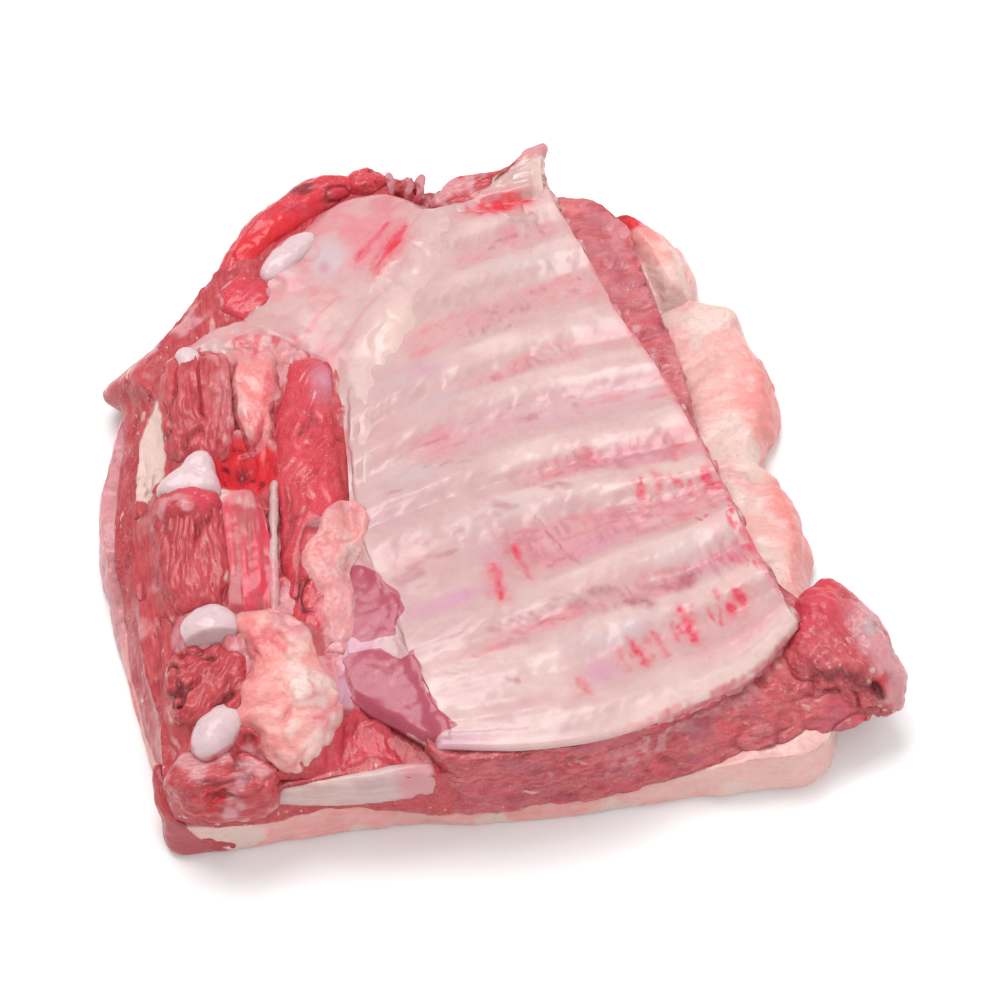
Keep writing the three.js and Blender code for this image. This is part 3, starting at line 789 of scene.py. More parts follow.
P = sheet.points
u, w = sheet.known["u"], sheet.known["w"]
flat = np.stack([u * LENGTH, w * WIDTH, P[:, 2]], -1)
sheet.grain = flat
uneven = noise(flat, [26, 6, 20], 3)
BANDS = [  # middle, half width, start, end and strength, from the front to the back
    (0.108, 0.028, 0.36, 0.97, 0.42), (0.205, 0.022, 0.10, 0.99, 0.62), (0.325, 0.046, 0.33, 1.0, 0.95),
    (0.447, 0.020, 0.42, 1.0, 0.85), (0.553, 0.034, 0.14, 0.98, 0.80), (0.645, 0.017, 0.32, 1.0, 0.60),
    (0.757, 0.038, 0.12, 1.0, 0.60), (0.885, 0.028, 0.32, 0.95, 0.50), (0.965, 0.018, 0.3, 0.9, 0.30),
]
rose = np.zeros(len(u))
for middle, half, start, end, strength in BANDS:
    rose = np.maximum(rose, strength * band(u, w, middle, half, start, end, 0.007 * uneven))
fibres = noise(flat @ TWIST, [5, 1.2, 5], 8) * 0.5 + noise(flat, [9, 1.0, 9], 9) * 0.5
blotch = noise(flat, [13, 5, 9], 14) + 0.6 * noise(flat, [5, 3, 5], 15)
sheet.mark(
    rose=rose * (0.86 + 0.16 * fibres + 0.2 * blotch),
    stain=0.3 * rose * smooth(blotch + 0.7 * fibres, 0.1, 1.1),
)
print("bands cover", round(100 * float((rose > 0.3).mean())), "% of the sheet")

# %% [markdown]
# The bands carry fine hatching, and the photo's strongest strokes one by one. Each strip of hatching is a
# row of a table: where it starts and ends, how wide it is, and how long and thin its strokes are.

# %% Hatching


def hatched(start, stop, half, cell, lean, seed, low=0.05, high=0.6):
    """Strokes in a strip between two places in u and w, half its width in millimetres: a noise in cells that
    are short one way and long the other, leaning by lean, shown where it is above low. The strip's ends and
    sides fade."""
    a, b = (np.array([at_u * LENGTH, at_w * WIDTH]) for at_u, at_w in (start, stop))
    run = b - a
    share = (flat[:, :2] - a) @ run / (run @ run)
    away = np.abs((flat[:, :2] - a) @ np.array([-run[1], run[0]])) / np.linalg.norm(run)
    strip = smooth(share, -0.02, 0.1) * fall(share, 0.9, 1.02)
    strip = strip * fall(away, 0.4 * half, 1.3 * half)
    leant = np.stack([flat[:, 0] + lean * flat[:, 1], flat[:, 1], 0 * share], -1)
    leant[:, :2] += 0.5 * wander(flat, 4, seed + 50, seed + 51)
    strength = noise(leant, [*cell, 9], seed) + 0.35 * noise(leant, [cell[0] / 2, cell[1] / 2, 9], seed + 1)
    return strip * smooth(strength, low, high)


RED = [  # from, to, half width, cell along and across the ribs, lean, seed, and where strokes begin and end
    ((0.46, 0.107), (0.93, 0.135), 3.0, (1.6, 6.0), 0.15, 1, 0.2, 1.3),
    ((0.72, 0.366), (1.02, 0.402), 3.0, (1.5, 5.0), 0.2, 3, 0.1, 1.2),
    ((0.86, 0.275), (1.0, 0.300), 2.5, (1.8, 4.0), 0.5, 4, 0.1, 0.9),
    ((0.955, 0.16), (1.0, 0.34), 3.0, (2.2, 2.6), 0.0, 5, -0.05, 0.6),
    ((0.55, 0.52), (0.64, 0.53), 2.0, (4.0, 1.8), 0.0, 6, 0.1, 0.9),
]
SOFT = [
    ((0.48, 0.198), (0.98, 0.208), 4.2, (1.5, 5.0), 0.2, 11, 0.0, 0.9),
    ((0.32, 0.335), (1.0, 0.325), 10.0, (1.6, 7.0), 0.1, 13, -0.1, 1.0),
    ((0.32, 0.335), (1.0, 0.325), 10.0, (7.0, 1.4), 0.1, 25, 0.0, 1.1),
    ((0.32, 0.335), (1.0, 0.325), 10.0, (5.0, 4.0), 0.4, 26, 0.0, 0.8),
    ((0.42, 0.445), (0.97, 0.455), 4.5, (1.7, 5.0), 0.15, 14, -0.1, 0.9),
    ((0.42, 0.445), (0.97, 0.455), 4.5, (6.0, 1.6), 0.15, 27, 0.0, 0.9),
    ((0.18, 0.560), (0.75, 0.555), 6.0, (7.0, 1.8), 0.0, 15, 0.15, 1.0),
    ((0.44, 0.635), (0.80, 0.652), 3.0, (2.2, 4.0), 0.5, 16, 0.0, 0.9),
    ((0.48, 0.750), (0.98, 0.775), 7.0, (4.0, 2.4), 0.6, 17, 0.1, 1.0),
    ((0.50, 0.880), (0.93, 0.895), 5.0, (4.0, 2.4), 0.4, 18, 0.1, 1.0),
    ((0.16, 0.212), (0.50, 0.234), 3.0, (2.0, 5.0), 1.2, 19, 0.05, 1.0),
    ((0.07, 0.165), (0.33, 0.204), 3.0, (2.2, 5.0), 1.6, 20, 0.1, 1.0),
    ((0.03, 0.335), (0.28, 0.385), 6.5, (8.0, 2.0), 0.0, 21, 0.05, 0.8),
    ((0.08, 0.500), (0.36, 0.530), 6.0, (8.0, 2.2), 0.0, 22, 0.1, 0.9),
    ((0.40, 0.745), (0.62, 0.722), 4.0, (3.0, 2.2), 0.3, 23, 0.1, 0.9),
    ((0.84, 0.200), (1.0, 0.220), 6.0, (1.8, 4.0), 0.1, 24, -0.1, 0.9),
]
print(len(RED) + len(SOFT), "strips of hatching")

# %% [markdown]
# The single strokes are lines in plan: bright red ones, each with a soft halo, and brown ones.

# %% Strokes
BRIGHT = [  # x and y of both ends in millimetres, share of the width, and strength
    (87, -65, 90, -70, 1.7, 1), (84, -71, 87, -72, 1.7, 1), (79, -65, 80, -69, 1.1, 0.6),
    (77, -73, 78, -76, 0.9, 0.45), (81, -74, 82, -79, 0.9, 0.7), (68, -73, 72, -86, 1.5, 1),
    (71, -74, 72, -79, 1.6, 0.4), (64, -78, 66, -86, 1.0, 0.6), (66, -83, 70, -82, 1.0, 0.6),
    (57, -83, 60, -87, 1.3, 0.6), (60, -88, 62, -94, 1.0, 0.45), (55, -85, 56, -88, 1.1, 0.35),
    (50, -88, 54, -97, 1.2, 0.8), (57, -93, 55, -98, 1.0, 0.6), (48, -86, 50, -88, 1.0, 0.35),
    (45, -90, 46, -95, 1.0, 0.45), (48, -97, 49, -100, 0.9, 0.3), (31, -104, 34, -110, 1.6, 0.45),
    (9, -47, 11, -52, 1.5, 0.9), (11, -52, 15, -62, 0.9, 0.5), (2, -57, 4, -64, 2.0, 0.7),
    (4, -64, 5, -72, 1.3, 0.8), (55, -16, 55, -24, 1.2, 0.75), (62, -16, 62, -20, 1.0, 0.5),
    (67, -15, 70, -18, 1.3, 0.7), (73, -16, 73, -21, 1.0, 0.6), (78, -12, 80, -17, 1.7, 0.9),
    (79, -18, 84, -17, 1.5, 0.9), (60, -13, 62, -15, 1.4, 0.45), (36, -2, 38, -7, 1.7, 0.55),
    (67, 1, 72, 2, 1.3, 0.6), (67, -2, 68, -6, 1.6, 0.35), (86, -48, 89, -52, 1.6, 0.55),
    (92, -45, 96, -46, 2.2, 0.9), (81, -49, 82, -51, 1.4, 0.4),
]
BROWN = [
    (67, -63, 72, -58, 2.4, 0.9), (62, -63, 66, -63, 1.6, 0.7), (53, -63, 62, -63, 1.5, 0.5),
    (49, -70, 57, -71, 1.9, 0.8), (36, -67, 45, -65, 1.8, 0.55), (29, -73, 36, -72, 1.8, 0.6),
    (16, -80, 27, -79, 0.9, 0.5), (5, -92, 14, -88, 1.3, 0.35), (7, -105, 11, -106, 1.0, 0.6),
    (59, -57, 68, -55, 0.8, 0.35), (17, -34, 27, -49, 0.5, 0.75), (27, -49, 33, -54, 0.5, 0.6),
    (21, -56, 30, -49, 0.5, 0.55), (39, -34, 40, -43, 0.9, 0.4), (43, -34, 45, -39, 0.8, 0.3),
    (35, -28, 38, -35, 1.1, 0.25), (29, -3, 29, -11, 1.2, 0.4), (32, -3, 33, -11, 1.2, 0.45),
    (25, -7, 25, -12, 0.9, 0.3), (40, -9, 43, -10, 0.9, 0.5), (47, -7, 50, -10, 1.6, 0.5),
    (44, -4, 50, -4, 0.7, 0.5), (59, -1, 66, -5, 1.8, 0.4), (59, -20, 59, -24, 0.9, 0.45),
    (20, -20, 30, -19, 1.2, 0.6), (2, -30, 10, -30, 1.3, 0.5), (-6, -36, 4, -34, 1.2, 0.25),
]
faint = 0.7 + 0.5 * dapples(flat, [9, 30, 9], 7, -0.5, 0.3)
red = np.max([hatched(*row) for row in RED], axis=0) * faint
bright = strokes(P, BRIGHT, 1.5, 0.6)
halo = strokes(P, BRIGHT, 3.4, 0.6)
sheet.mark(
    stain=np.maximum(0.8 * red, 1.15 * bright * (0.9 + 0.3 * noise(flat, 1.6, 29))),
    rose=0.62 * halo,
)
sheet.mark(stain=0.36 * halo, bruise=0.42 * np.max([hatched(*row) for row in SOFT], axis=0))
sheet.mark(bruise=strokes(P, BROWN, 1.4, 0.8) * (0.85 + 0.3 * noise(flat, 1.8, 30)))
print("strokes cover", round(100 * float((red > 0.3).mean()), 2), "% of the sheet")

# %% [markdown]
# Grey, violet and pink patches lie on the membrane. It is milky over the ribs and at the front left corner,
# where it is thick.

# %% Broad patches


def patches(rows):
    """Soft patches on the sheet: the strongest of the hills that the rows name, each times its strength."""
    hills = []
    for at_u, at_w, long, wide, turn, strength in rows:
        middle = on_sheet(np.array(float(at_u)), np.array(at_w))
        hills.append(strength * hill(sheet.points, middle, (long, wide), turn))
    return np.max(hills, axis=0)


sheet.mark(
    purple=purple(P),
    lean=0.45 * purple(P) * smooth(-P[:, 1], 98, 112),
    pearl=0.45 * band(u, w, 0.553, 0.034, 0.26, 0.95, 0.01 * uneven),
)
GREYS = [  # u, w, radii in millimetres, turn, and strength
    (0.28, 0.985, 30, 5, 5, 1), (0.2, 0.70, 16, 6, 30, 1), (0.16, 0.52, 14, 9, 20, 1),
    (0.55, 0.145, 22, 6, 22, 1), (0.42, 0.40, 20, 5, 22, 1), (0.75, 0.24, 16, 5, 24, 1),
    (0.7, 0.83, 24, 5, 20, 1), (0.30, 0.63, 18, 5, 24, 1), (0.86, 0.53, 12, 6, 20, 1),
]
VIOLETS = [
    (0.45, 0.100, 8, 6, 20, 0.9), (0.04, 0.012, 12, 5, 0, 0.8), (0.15, 0.292, 20, 3.6, 26, 1),
    (0.6, 0.30, 16, 6, 30, 0.6), (0.77, 0.44, 14, 5, 20, 0.5), (0.88, 0.2, 12, 5, 25, 0.5),
    (0.25, 0.70, 9, 4, 20, 0.7), (0.31, 0.33, 5, 9, 30, 0.6), (0.08, 0.45, 12, 6, 20, 0.5),
]
FLUSH = [
    (0.12, 0.36, 20, 14, 30, 1), (0.42, 0.31, 14, 12, 20, 1), (0.62, 0.235, 26, 5, 22, 1),
    (0.25, 0.2, 22, 8, 24, 1), (0.9, 0.16, 9, 14, 0, 0.8), (0.93, 0.26, 7, 12, 0, 1),
    (0.1, 0.62, 12, 30, 0, 1), (0.62, 0.98, 30, 8, 10, 0.9), (0.3, 0.08, 20, 6, 10, 0.8),
]
sheet.mark(
    pearl=0.6 * patches(GREYS) * (0.8 + 0.4 * uneven),
    violet=0.85 * patches(VIOLETS),
    rose=0.4 * patches(FLUSH) * (0.9 + 0.3 * uneven),
)
red_patch = patches([(0.62, 0.962, 13, 4.5, 18, 1), (0.80, 0.95, 7, 3, 10, 0.9)])
sheet.mark(
    stain=0.95 * red_patch * (0.9 + 0.35 * noise(P, [4, 3, 4], 16)),
    blood=0.8 * red_patch * (0.8 + 0.5 * noise(P, 3, 17)),
)
nearest = np.abs(w[:, None] - RIBS[:, 1]).min(1)
ridge = fall(nearest, 0.010, 0.032)
corner = fall(u + 0.05 * uneven, 0.3, 0.6) * fall(w, 0.14, 0.34)
sheet.mark(milk=0.62 * ridge * (0.8 + 0.35 * uneven) * smooth(u, 0.15, 0.5) * (1 - corner))
sheet.mark(milk=0.5 * corner * (0.8 + 0.4 * blotch))
sheet.mark(milk=0.85 * fall(w, 0.01, 0.06) * smooth(u, 0.25, 0.6))
print("patches:", len(GREYS), "grey,", len(VIOLETS), "violet,", len(FLUSH), "pink")

# %% [markdown]
# Below its rim the sheet is cut flesh. The rim of the membrane is frayed at the front, and bloody along the
# saw cut.

# %% The sheet's edges
sunk = sheet.known["sunk"]
rim_fall = between(0.02, 0.34, smooth(u, 0.45, 0.9))
is_front = (w < 0.001) & (u > 0.001) & (u < 0.999)
below = np.where(is_front, smooth(sunk, rim_fall - 0.02, rim_fall + 0.08), smooth(sunk, 0.05, 0.2))
frayed = is_front * smooth(u, 0.4, 0.6) * fall(sunk, rim_fall + 0.2, rim_fall + 0.6)
below = below * (1 - 0.92 * frayed * blotches(P, 4, 11, -1.1, 0.1))
sheet.mark(
    lean=below * (0.85 + 0.25 * noise(P, [9, 4, 2.5], 12)),
    rose=0.75 * frayed,
    cream=0.6 * frayed * blotches(P, 2.4, 33, -0.3, 0.9),
)
sheet.mark(lean=0.8 * smooth(u, 0.994, 0.999) * dapples(flat, [9, 9, 9], 13, -0.3, 0.5))
fringe = smooth(u + 0.010 * noise(P, 2.4, 18) + 0.006 * noise(P, 12, 20), 0.978, 0.995)
fringe = fringe * smooth(w, 0.06, 0.14) * fall(w, 0.84, 0.9)
fringe = fringe * dapples(P, 15, 27, -0.6, 0.2)
sheet.mark(
    stain=0.8 * fringe * (0.7 + 0.5 * noise(P, 2.6, 19)),
    rose=0.5 * smooth(u, 0.955, 0.985) * smooth(w, 0.06, 0.14),
)

rim = smooth(u, 0.45, 0.75)
sheet.mark(rose=0.5 * rim * arch((w - 0.03) / 0.07) * (0.9 + 0.3 * uneven))
crumbs = fall(w * WIDTH + 1.2 * noise(P, 2.0, 24), 1.2, 3.0) * smooth(u, 0.3, 0.6)
sheet.mark(
    stain=0.4 * crumbs * dapples(P, 2.4, 25, -0.5, 0.5),
    rose=0.7 * crumbs * dapples(P, 5, 28, -0.5, 0.3),
)
print("the frayed rim covers", round(100 * float((frayed > 0.3).mean()), 1), "% of the sheet")

# %% [markdown]
# The sheet's relief: soft waves, shallow marks, a roll along the front rim, and ridges that are rounder than
# the frame's.

# %% The sheet's relief
inside = arch(u, 0.3) * arch(w, 0.3)
relief = 0.26 * rough(flat, [16, 8, 12], 21) - 0.08 * rose * fibres
relief -= 0.08 * sheet.paint["stain"] + 0.04 * sheet.paint["bruise"]
relief += rim * (1.3 * np.exp(-((w * WIDTH - 5) / 3.4) ** 2) - 0.7 * np.exp(-((w * WIDTH - 13) / 4) ** 2))
flatter = between(0.4, 0.8, fall(u, 0.2, 0.6) * fall(w, 0.3, 0.5))
rounder = (1 - flatter) * fall(nearest, 0.0, 0.055) - fall(nearest, 0.013, 0.045)
softened = (RIDGE * rounder + flatter) * fall(sunk, 0.02, 0.1)
cut_face = smooth(sunk, 0.1, 0.3) * 0.8 * rough(P, [7, 5, 2.6], 23)
sheet.push(relief * between(0.3, 1, inside) * fall(sunk, 0.02, 0.1) + softened + cut_face)

MILKY = tone(213, 175, 172), (tone(204, 159, 160), 13, 0.7), (tone(219, 190, 186), 26, 5.0, 0.2)
MEMBRANE = tissue(
    "membrane", *MILKY,
    ["milk", "cream", "rose", "pearl", "violet", "purple", "lean", "stain", "bruise", "blood", "dark"],
    gloss=0.31, dents=0.14,
)
piece("rib_sheet", sheet, MEMBRANE)

# %% [markdown]
# ## The rib bones
# A rib is an oval tube of bone with red marrow. Only its sawn end shows, at the edge of the sheet. So the
# bone runs through the sheet as on the frame, and its end is a flat face with a ring of hard bone round the
# marrow.

# %% Rib bones


def rib_bone(w, stations=60, sides=56):
    """An oval carried along the rib's line, closed by rings on its two flat ends."""
    u = np.linspace(0.06, 1, stations)
    middle = on_sheet(u, np.full(stations, w)) - [0, 0, BONE_DEPTH + BONE_HEIGHT / 2]
    before, after = u - 0.02, np.minimum(u + 0.02, 1)
    ahead = sheet_plan(after, arched(after, w)) - sheet_plan(before, arched(before, w))
    ahead /= np.linalg.norm(ahead, axis=1, keepdims=True)
    middle[-1, :2] += ahead[-1] * 0.9
    side = np.stack([-ahead[:, 1], ahead[:, 0], np.zeros(stations)], -1)
    size = between(0.75, 1, smooth(u, 0.06, 0.3))
    caps = np.array([0, 0.2, 0.4, 0.6, 0.75, 0.88, 0.96])
    which = np.concatenate([np.zeros(7, int), np.arange(stations), np.full(7, stations - 1)])
    full = np.concatenate([caps * size[0], size, caps[::-1] * size[-1]])
    share = np.concatenate([caps, np.ones(stations), caps[::-1]])
    angle = TURN * np.arange(sides) / sides
    across = BONE_WIDTH / 2 * full[:, None] * np.cos(angle)
    grid = middle[which][:, None] + side[which][:, None] * across[..., None]
    grid[..., 2] += BONE_HEIGHT / 2 * full[:, None] * np.sin(angle)
    return Shape(grid, share=share[:, None], u=u[which][:, None])


BONE = tissue(
    "bone", tone(220, 184, 179), (tone(206, 164, 160), 6, 0.6), (tone(232, 204, 199), 12, 1.4, 0.35),
    ["cream", "pearl", "rose", "bruise", "stain", "blood", "dark"], gloss=0.42, dents=0.2, light_in=0.15,
)
for number, rib in enumerate(RIBS, 1):
    bone = rib_bone(rib[1])
    marrow = fall(bone.known["share"], 0.45, 0.85) * smooth(bone.known["u"], 0.98, 0.999)
    bone.mark(
        blood=marrow * (0.8 + 0.4 * noise(bone.points, 1.2, number)),
        rose=0.8 * smooth(bone.known["u"], 0.98, 0.999) * (bone.known["share"] < 0.95),
        stain=0.8 * smooth(bone.known["u"], 0.985, 0.995) * dapples(bone.points, 2, number, -0.6, 0.2),
    )
    bone.push(0.12 * rough(bone.points, 2.0, number))
    piece(f"rib_{number}", bone, BONE)

# %% [markdown]
# ## The ground
# Raw meat grows together: where two pieces meet there is no clean gap but a film or a seam of tissue. So the
# small pieces are made first and laid on a map of heights. Blurred a little, the map gives the surface of
# the tissue that fills the seams, and skins and threads are laid over it.

# %% A map of heights
HALF = 170  # the map reaches this far from the origin, in millimetres


class Ground:
    """The highest point of all that was laid, for each square millimetre in plan."""

    def __init__(self, base):
        x, y = np.meshgrid(np.arange(-HALF, HALF), np.arange(-HALF, HALF), indexing="ij")
        self.height = base(x, y)

    def lay(self, *shapes):
        for shape in shapes:
            i, j = np.round(shape.points[:, :2].T + HALF).astype(int)
            np.maximum.at(self.height, (i, j), shape.points[:, 2])
        return self

    def blurred(self, radius, spread=0):
        """A function of x and y: the map blurred by a bell curve of that radius, which multiplies its waves
        by e to the minus 2 (pi radius k)^2, read between its four nearest cells. Before that each point
        grows by spread cells, so that no ridge pokes through what is laid on it."""
        size, grown = 2 * HALF, self.height
        for shift in [1, -1] * spread:
            grown = np.maximum.reduce([grown, np.roll(grown, shift, axis=0), np.roll(grown, shift, axis=1)])
        waves = np.fft.rfft2(grown)
        k2 = np.fft.fftfreq(size)[:, None] ** 2 + np.fft.rfftfreq(size)[None] ** 2
        soft = np.fft.irfft2(waves * np.exp(-2 * (np.pi * radius) ** 2 * k2), (size, size))

        def read(x, y):
            at = np.clip(np.stack([x, y]) + HALF, 0, size - 2)
            i, j = np.floor(at).astype(int)
            across, along = at - [i, j]
            return between(between(soft[i, j], soft[i + 1, j], across),
                           between(soft[i, j + 1], soft[i + 1, j + 1], across), along)

        return read


def skin(left, right, ground, thick, fade=3.0, sunk=2.2, fine=0.8):
    """A skin over the ground, between two borders that run the same way. Its height over the ground is thick,
    and falls to -1 at the border over a length round fade."""
    left, right = curve(left), curve(right)
    rows = int(max(left.length, right.length) / fine)
    v = np.linspace(0, 1, rows)[:, None]
    gap = np.linalg.norm(right(v) - left(v), axis=-1)
    columns = max(int(gap.max() / fine), 6)
    u = np.linspace(0, 1, columns)[None]
    plan = between(left(v), right(v), u[..., None])
    margin = np.minimum(np.minimum(u, 1 - u) * gap, np.minimum(v, 1 - v) * (left.length + right.length) / 2)
    share = smooth(margin * (1 + 0.4 * noise(plan.reshape(-1, 3), 6, 5).reshape(margin.shape)), 0, fade)
    grid = plan.copy()
    grid[..., 2] = ground(plan[..., 0], plan[..., 1]) + between(-1.0, thick, share)
    under = grid - [0, 0, sunk]
    number = np.arange(rows * columns).reshape(rows, columns)
    rim = np.concatenate([number[0, :-1], number[:-1, -1], number[-1, :0:-1], number[:0:-1, 0]])[::-1]
    rings = np.stack([grid.reshape(-1, 3)[rim], under.reshape(-1, 3)[rim]])
    rim_u, rim_v = (np.broadcast_to(t, margin.shape).ravel()[rim] for t in (u, v))
    known = {"margin": (np.zeros(rings.shape[:2]), margin, np.zeros(margin.shape)),
             "u": (np.stack([rim_u] * 2), margin * 0 + u, margin * 0 + u[:, ::-1]),
             "v": (np.stack([rim_v] * 2), margin * 0 + v, margin * 0 + v),
             "top": (np.stack([np.ones(len(rim)), np.zeros(len(rim))]), margin * 0 + 1, margin * 0)}
    return Shape(rings, grid, under[:, ::-1], **known)


print("ground ready")

# %% [markdown]
# ## Outlines and heights of the layers
# The slab lies on a layer of fat. On it lie the loin, under the backbone side, and the belly muscle, under
# the ribs. Each is a closed outline whose side leans in on its way up, as on the frame.

# %% Outlines and heights
FAT_OUTLINE = [
    [-108, -148], [-85, -148], [-51, -141], [-13, -138], [22, -135], [57, -129], [92, -125], [115, -121],
    [122, -110], [120, -75], [117, -41], [119, -26], [117, -12], [111, 2], [104, 9], [106, 20], [111, 36],
    [111, 50], [107, 62], [101, 75], [98, 86], [88, 90], [81, 93], [82, 106], [77, 120], [64, 131], [47, 133],
    [32, 136], [12, 140], [-10, 139], [-30, 134], [-47, 138], [-60, 136], [-78, 127], [-92, 114],
    [-104, 100], [-114, 83], [-128, 65], [-140, 47], [-139, 36], [-141, 20], [-144, -8], [-142, -30],
    [-135, -56], [-127, -85], [-120, -107], [-113, -128],
]
LOIN_OUTLINE = [
    [-106, -145], [-85, -147], [-51, -141], [-8, -137], [-7, -60], [-7, 20], [-8, 100], [-14, 126],
    [-32, 127], [-46, 140], [-60, 137], [-78, 127], [-92, 113], [-104, 99], [-116, 82], [-131, 65],
    [-146, 45], [-138, 33], [-135, 15], [-136, -6], [-135, -28], [-131, -52], [-126, -82], [-119, -106],
    [-112, -126],
]
BELLY_OUTLINE = [
    [-18, -137], [22, -135], [39, -132], [56, -128], [74, -124], [94, -118], [110, -114], [122, -111],
    [134, -105], [136, -94], [126, -78], [108, -66], [99, -45], [90, -17], [81, 11], [75, 44], [70, 64],
    [65, 79], [60, 98], [54, 118], [44, 130], [29, 133], [10, 138], [-10, 138], [-18, 134], [-18, 60],
    [-18, -40],
]


def fat_top(x, y):
    belly = 13 * smooth(x, 40, 100)
    front = 9 * smooth(-y, 105, 130) * fall(x, -40, 15)
    left = 11 * smooth(-x, 118, 136) * fall(np.abs(y + 5), 25, 60)
    return 8 + np.maximum.reduce([belly, front, left])


def loin_top(x, y):
    outer, back = 7 * smooth(-x, 96, 124), 7 * smooth(y, 85, 125)
    return between(43 - 8 * smooth(-y, 95, 140) - np.maximum(outer, back), 37, smooth(x, -62, -42))


def belly_top(x, y):
    return between(37, 29, smooth(x + 0.4 * y, -40, 110))


print("fat under the belly side reaches", float(fat_top(120, 0)), "mm")

# %% [markdown]
# ## Finishes of muscle, fat and cartilage
# Muscle is darker where it is thick and paler where a film lies on it; fat is cream with pink lobes; the
# cartilage caps are smooth and a little blue, with more light in them.

# %% Finishes
LEAN = tissue(
    "lean", tone(200, 68, 76), (tone(178, 46, 60), 9, 0.75), (tone(214, 96, 98), 9, 1.2, 0.55),
    ["cream", "pearl", "purple", "rose", "stain", "bruise", "blood", "dark"],
    fleck=(tone(228, 150, 146), 1.2, 0.3), gloss=0.34, dents=0.5, light_in=0.28,
)
FRESH = tissue(
    "fresh", tone(218, 62, 76), (tone(196, 42, 58), 9, 0.7), (tone(230, 92, 100), 8, 1.2, 0.4),
    ["cream", "pearl", "violet", "rose", "stain", "bruise", "blood", "dark"],
    fleck=(tone(244, 190, 194), 0.8, 0.45), gloss=0.25, dents=0.35, light_in=0.25,
)
FAT = tissue(
    "fat", tone(245, 178, 173), (tone(245, 154, 150), 9, 0.6), (tone(249, 202, 195), 10, 2.2, 0.4),
    ["cream", "pearl", "salmon", "rose", "lean", "stain", "bruise", "blood", "dark"],
    lobe=(tone(244, 152, 152), 3.4, 0.25), fleck=(tone(250, 224, 216), 1.5, 0.35),
    gloss=0.36, dents=0.5, light_in=0.32,
)
CARTILAGE = tissue(
    "cartilage", tone(227, 198, 201), (tone(217, 183, 190), 7, 0.6), (tone(234, 211, 212), 9, 2.4, 0.35),
    ["cream", "rose", "lean", "stain", "blood"], gloss=0.28, dents=0.12, light_in=0.4,
)
CUT = tissue(
    "cut_lean", tone(206, 86, 94), (tone(180, 62, 76), 7, 0.8), (tone(226, 124, 126), 5, 1.5, 0.5),
    ["salmon", "cream", "pearl", "rose", "stain", "bruise", "blood", "dark"],
    fleck=(tone(240, 188, 182), 0.9, 0.6), gloss=0.38, dents=0.55, light_in=0.28,
)
FASCIA = tissue(
    "fascia", *MILKY, ["rose", "pearl", "cream", "violet", "purple", "stain", "blood", "dark"],
    gloss=0.3, dents=0.22,
)
print("finishes:", ", ".join(m.name for m in bpy.data.materials if m.use_nodes))

# %% [markdown]
# ## Flesh and fat
# Two treatments turn a plain form into tissue. Flesh is pulled into strands along its grain, with creases
# between some of them; fat swells into soft uneven lobes. Both are noises that push the surface in and out.

# %% Flesh and fat


def fleshy(shape, strand, depth, seed, white=0.4, deep=0.7):
    """Strands along the grain: noise in long thin cells at three scales, and creases between them. The
    creases and the sunken strands get painted shade, as much as deep; some of the strands that stand out get
    a pale painted highlight, as much as white."""
    lie = shape.grain + 1.3 * wander(shape.points, 8, seed, seed + 1, seed + 2)
    strand = np.asarray(strand, float)
    body = noise(lie, strand, seed) + 0.5 * noise(lie, strand / [1.6, 2.1, 2.1], seed + 4)
    fine = noise(lie, strand / [3, 4.5, 4.5], seed + 5)
    cut = creases(lie, strand * [1.4, 1.7, 1.7], seed + 6)
    shape.push(depth * (0.55 * body + 0.2 * fine - 0.9 * cut) + 0.45 * rough(shape.points, 9, seed + 9))
    shape.mark(
        dark=deep * np.maximum(cut, 0.6 * smooth(-body, 0.3, 0.9)),
        cream=white * smooth(body + 0.6 * noise(shape.points, 6, seed + 2), 0.5, 1.1),
    )


def fatty(shape, lobe, depth, seed, red=0.4, pink=0.7):
    """Lobes: a noise at three scales, with a few creases. The hollows are pinker, and red at the deepest."""
    twisted = shape.points @ TWIST
    swell = noise(twisted, lobe, seed) + 0.5 * noise(twisted, np.asarray(lobe) / 2.2, seed + 1)
    cut = creases(twisted, np.asarray(lobe) * 1.3, seed + 2)
    grains = rough(shape.points, 1.8, seed + 3, 2)
    shape.push(depth * (0.6 * swell - 0.8 * cut) + 0.16 * grains)
    shape.mark(
        salmon=pink * np.maximum(smooth(-swell, -0.1, 0.7), cut),
        blood=red * smooth(-swell + 0.5 * noise(shape.points, 6, seed + 4), 0.5, 1.2),
        cream=0.8 * smooth(swell, 0.2, 0.9),
    )


def reach(points, at, radius, turn=0.0):
    """A patch with a firm edge: 1 inside an oval in plan, 0 outside, over a fifth of its radius."""
    return smooth(hill(points, at, radius, turn), 0.22, 0.5)


print("flesh and fat ready")

# %% [markdown]
# ## Caps of the backbone
# The spine was sawn lengthwise, which leaves the white cartilage caps of the vertebrae. Each is an oval
# dome with a thin red edge, sunk in the flesh round it. The third is larger and has an outline of its own.

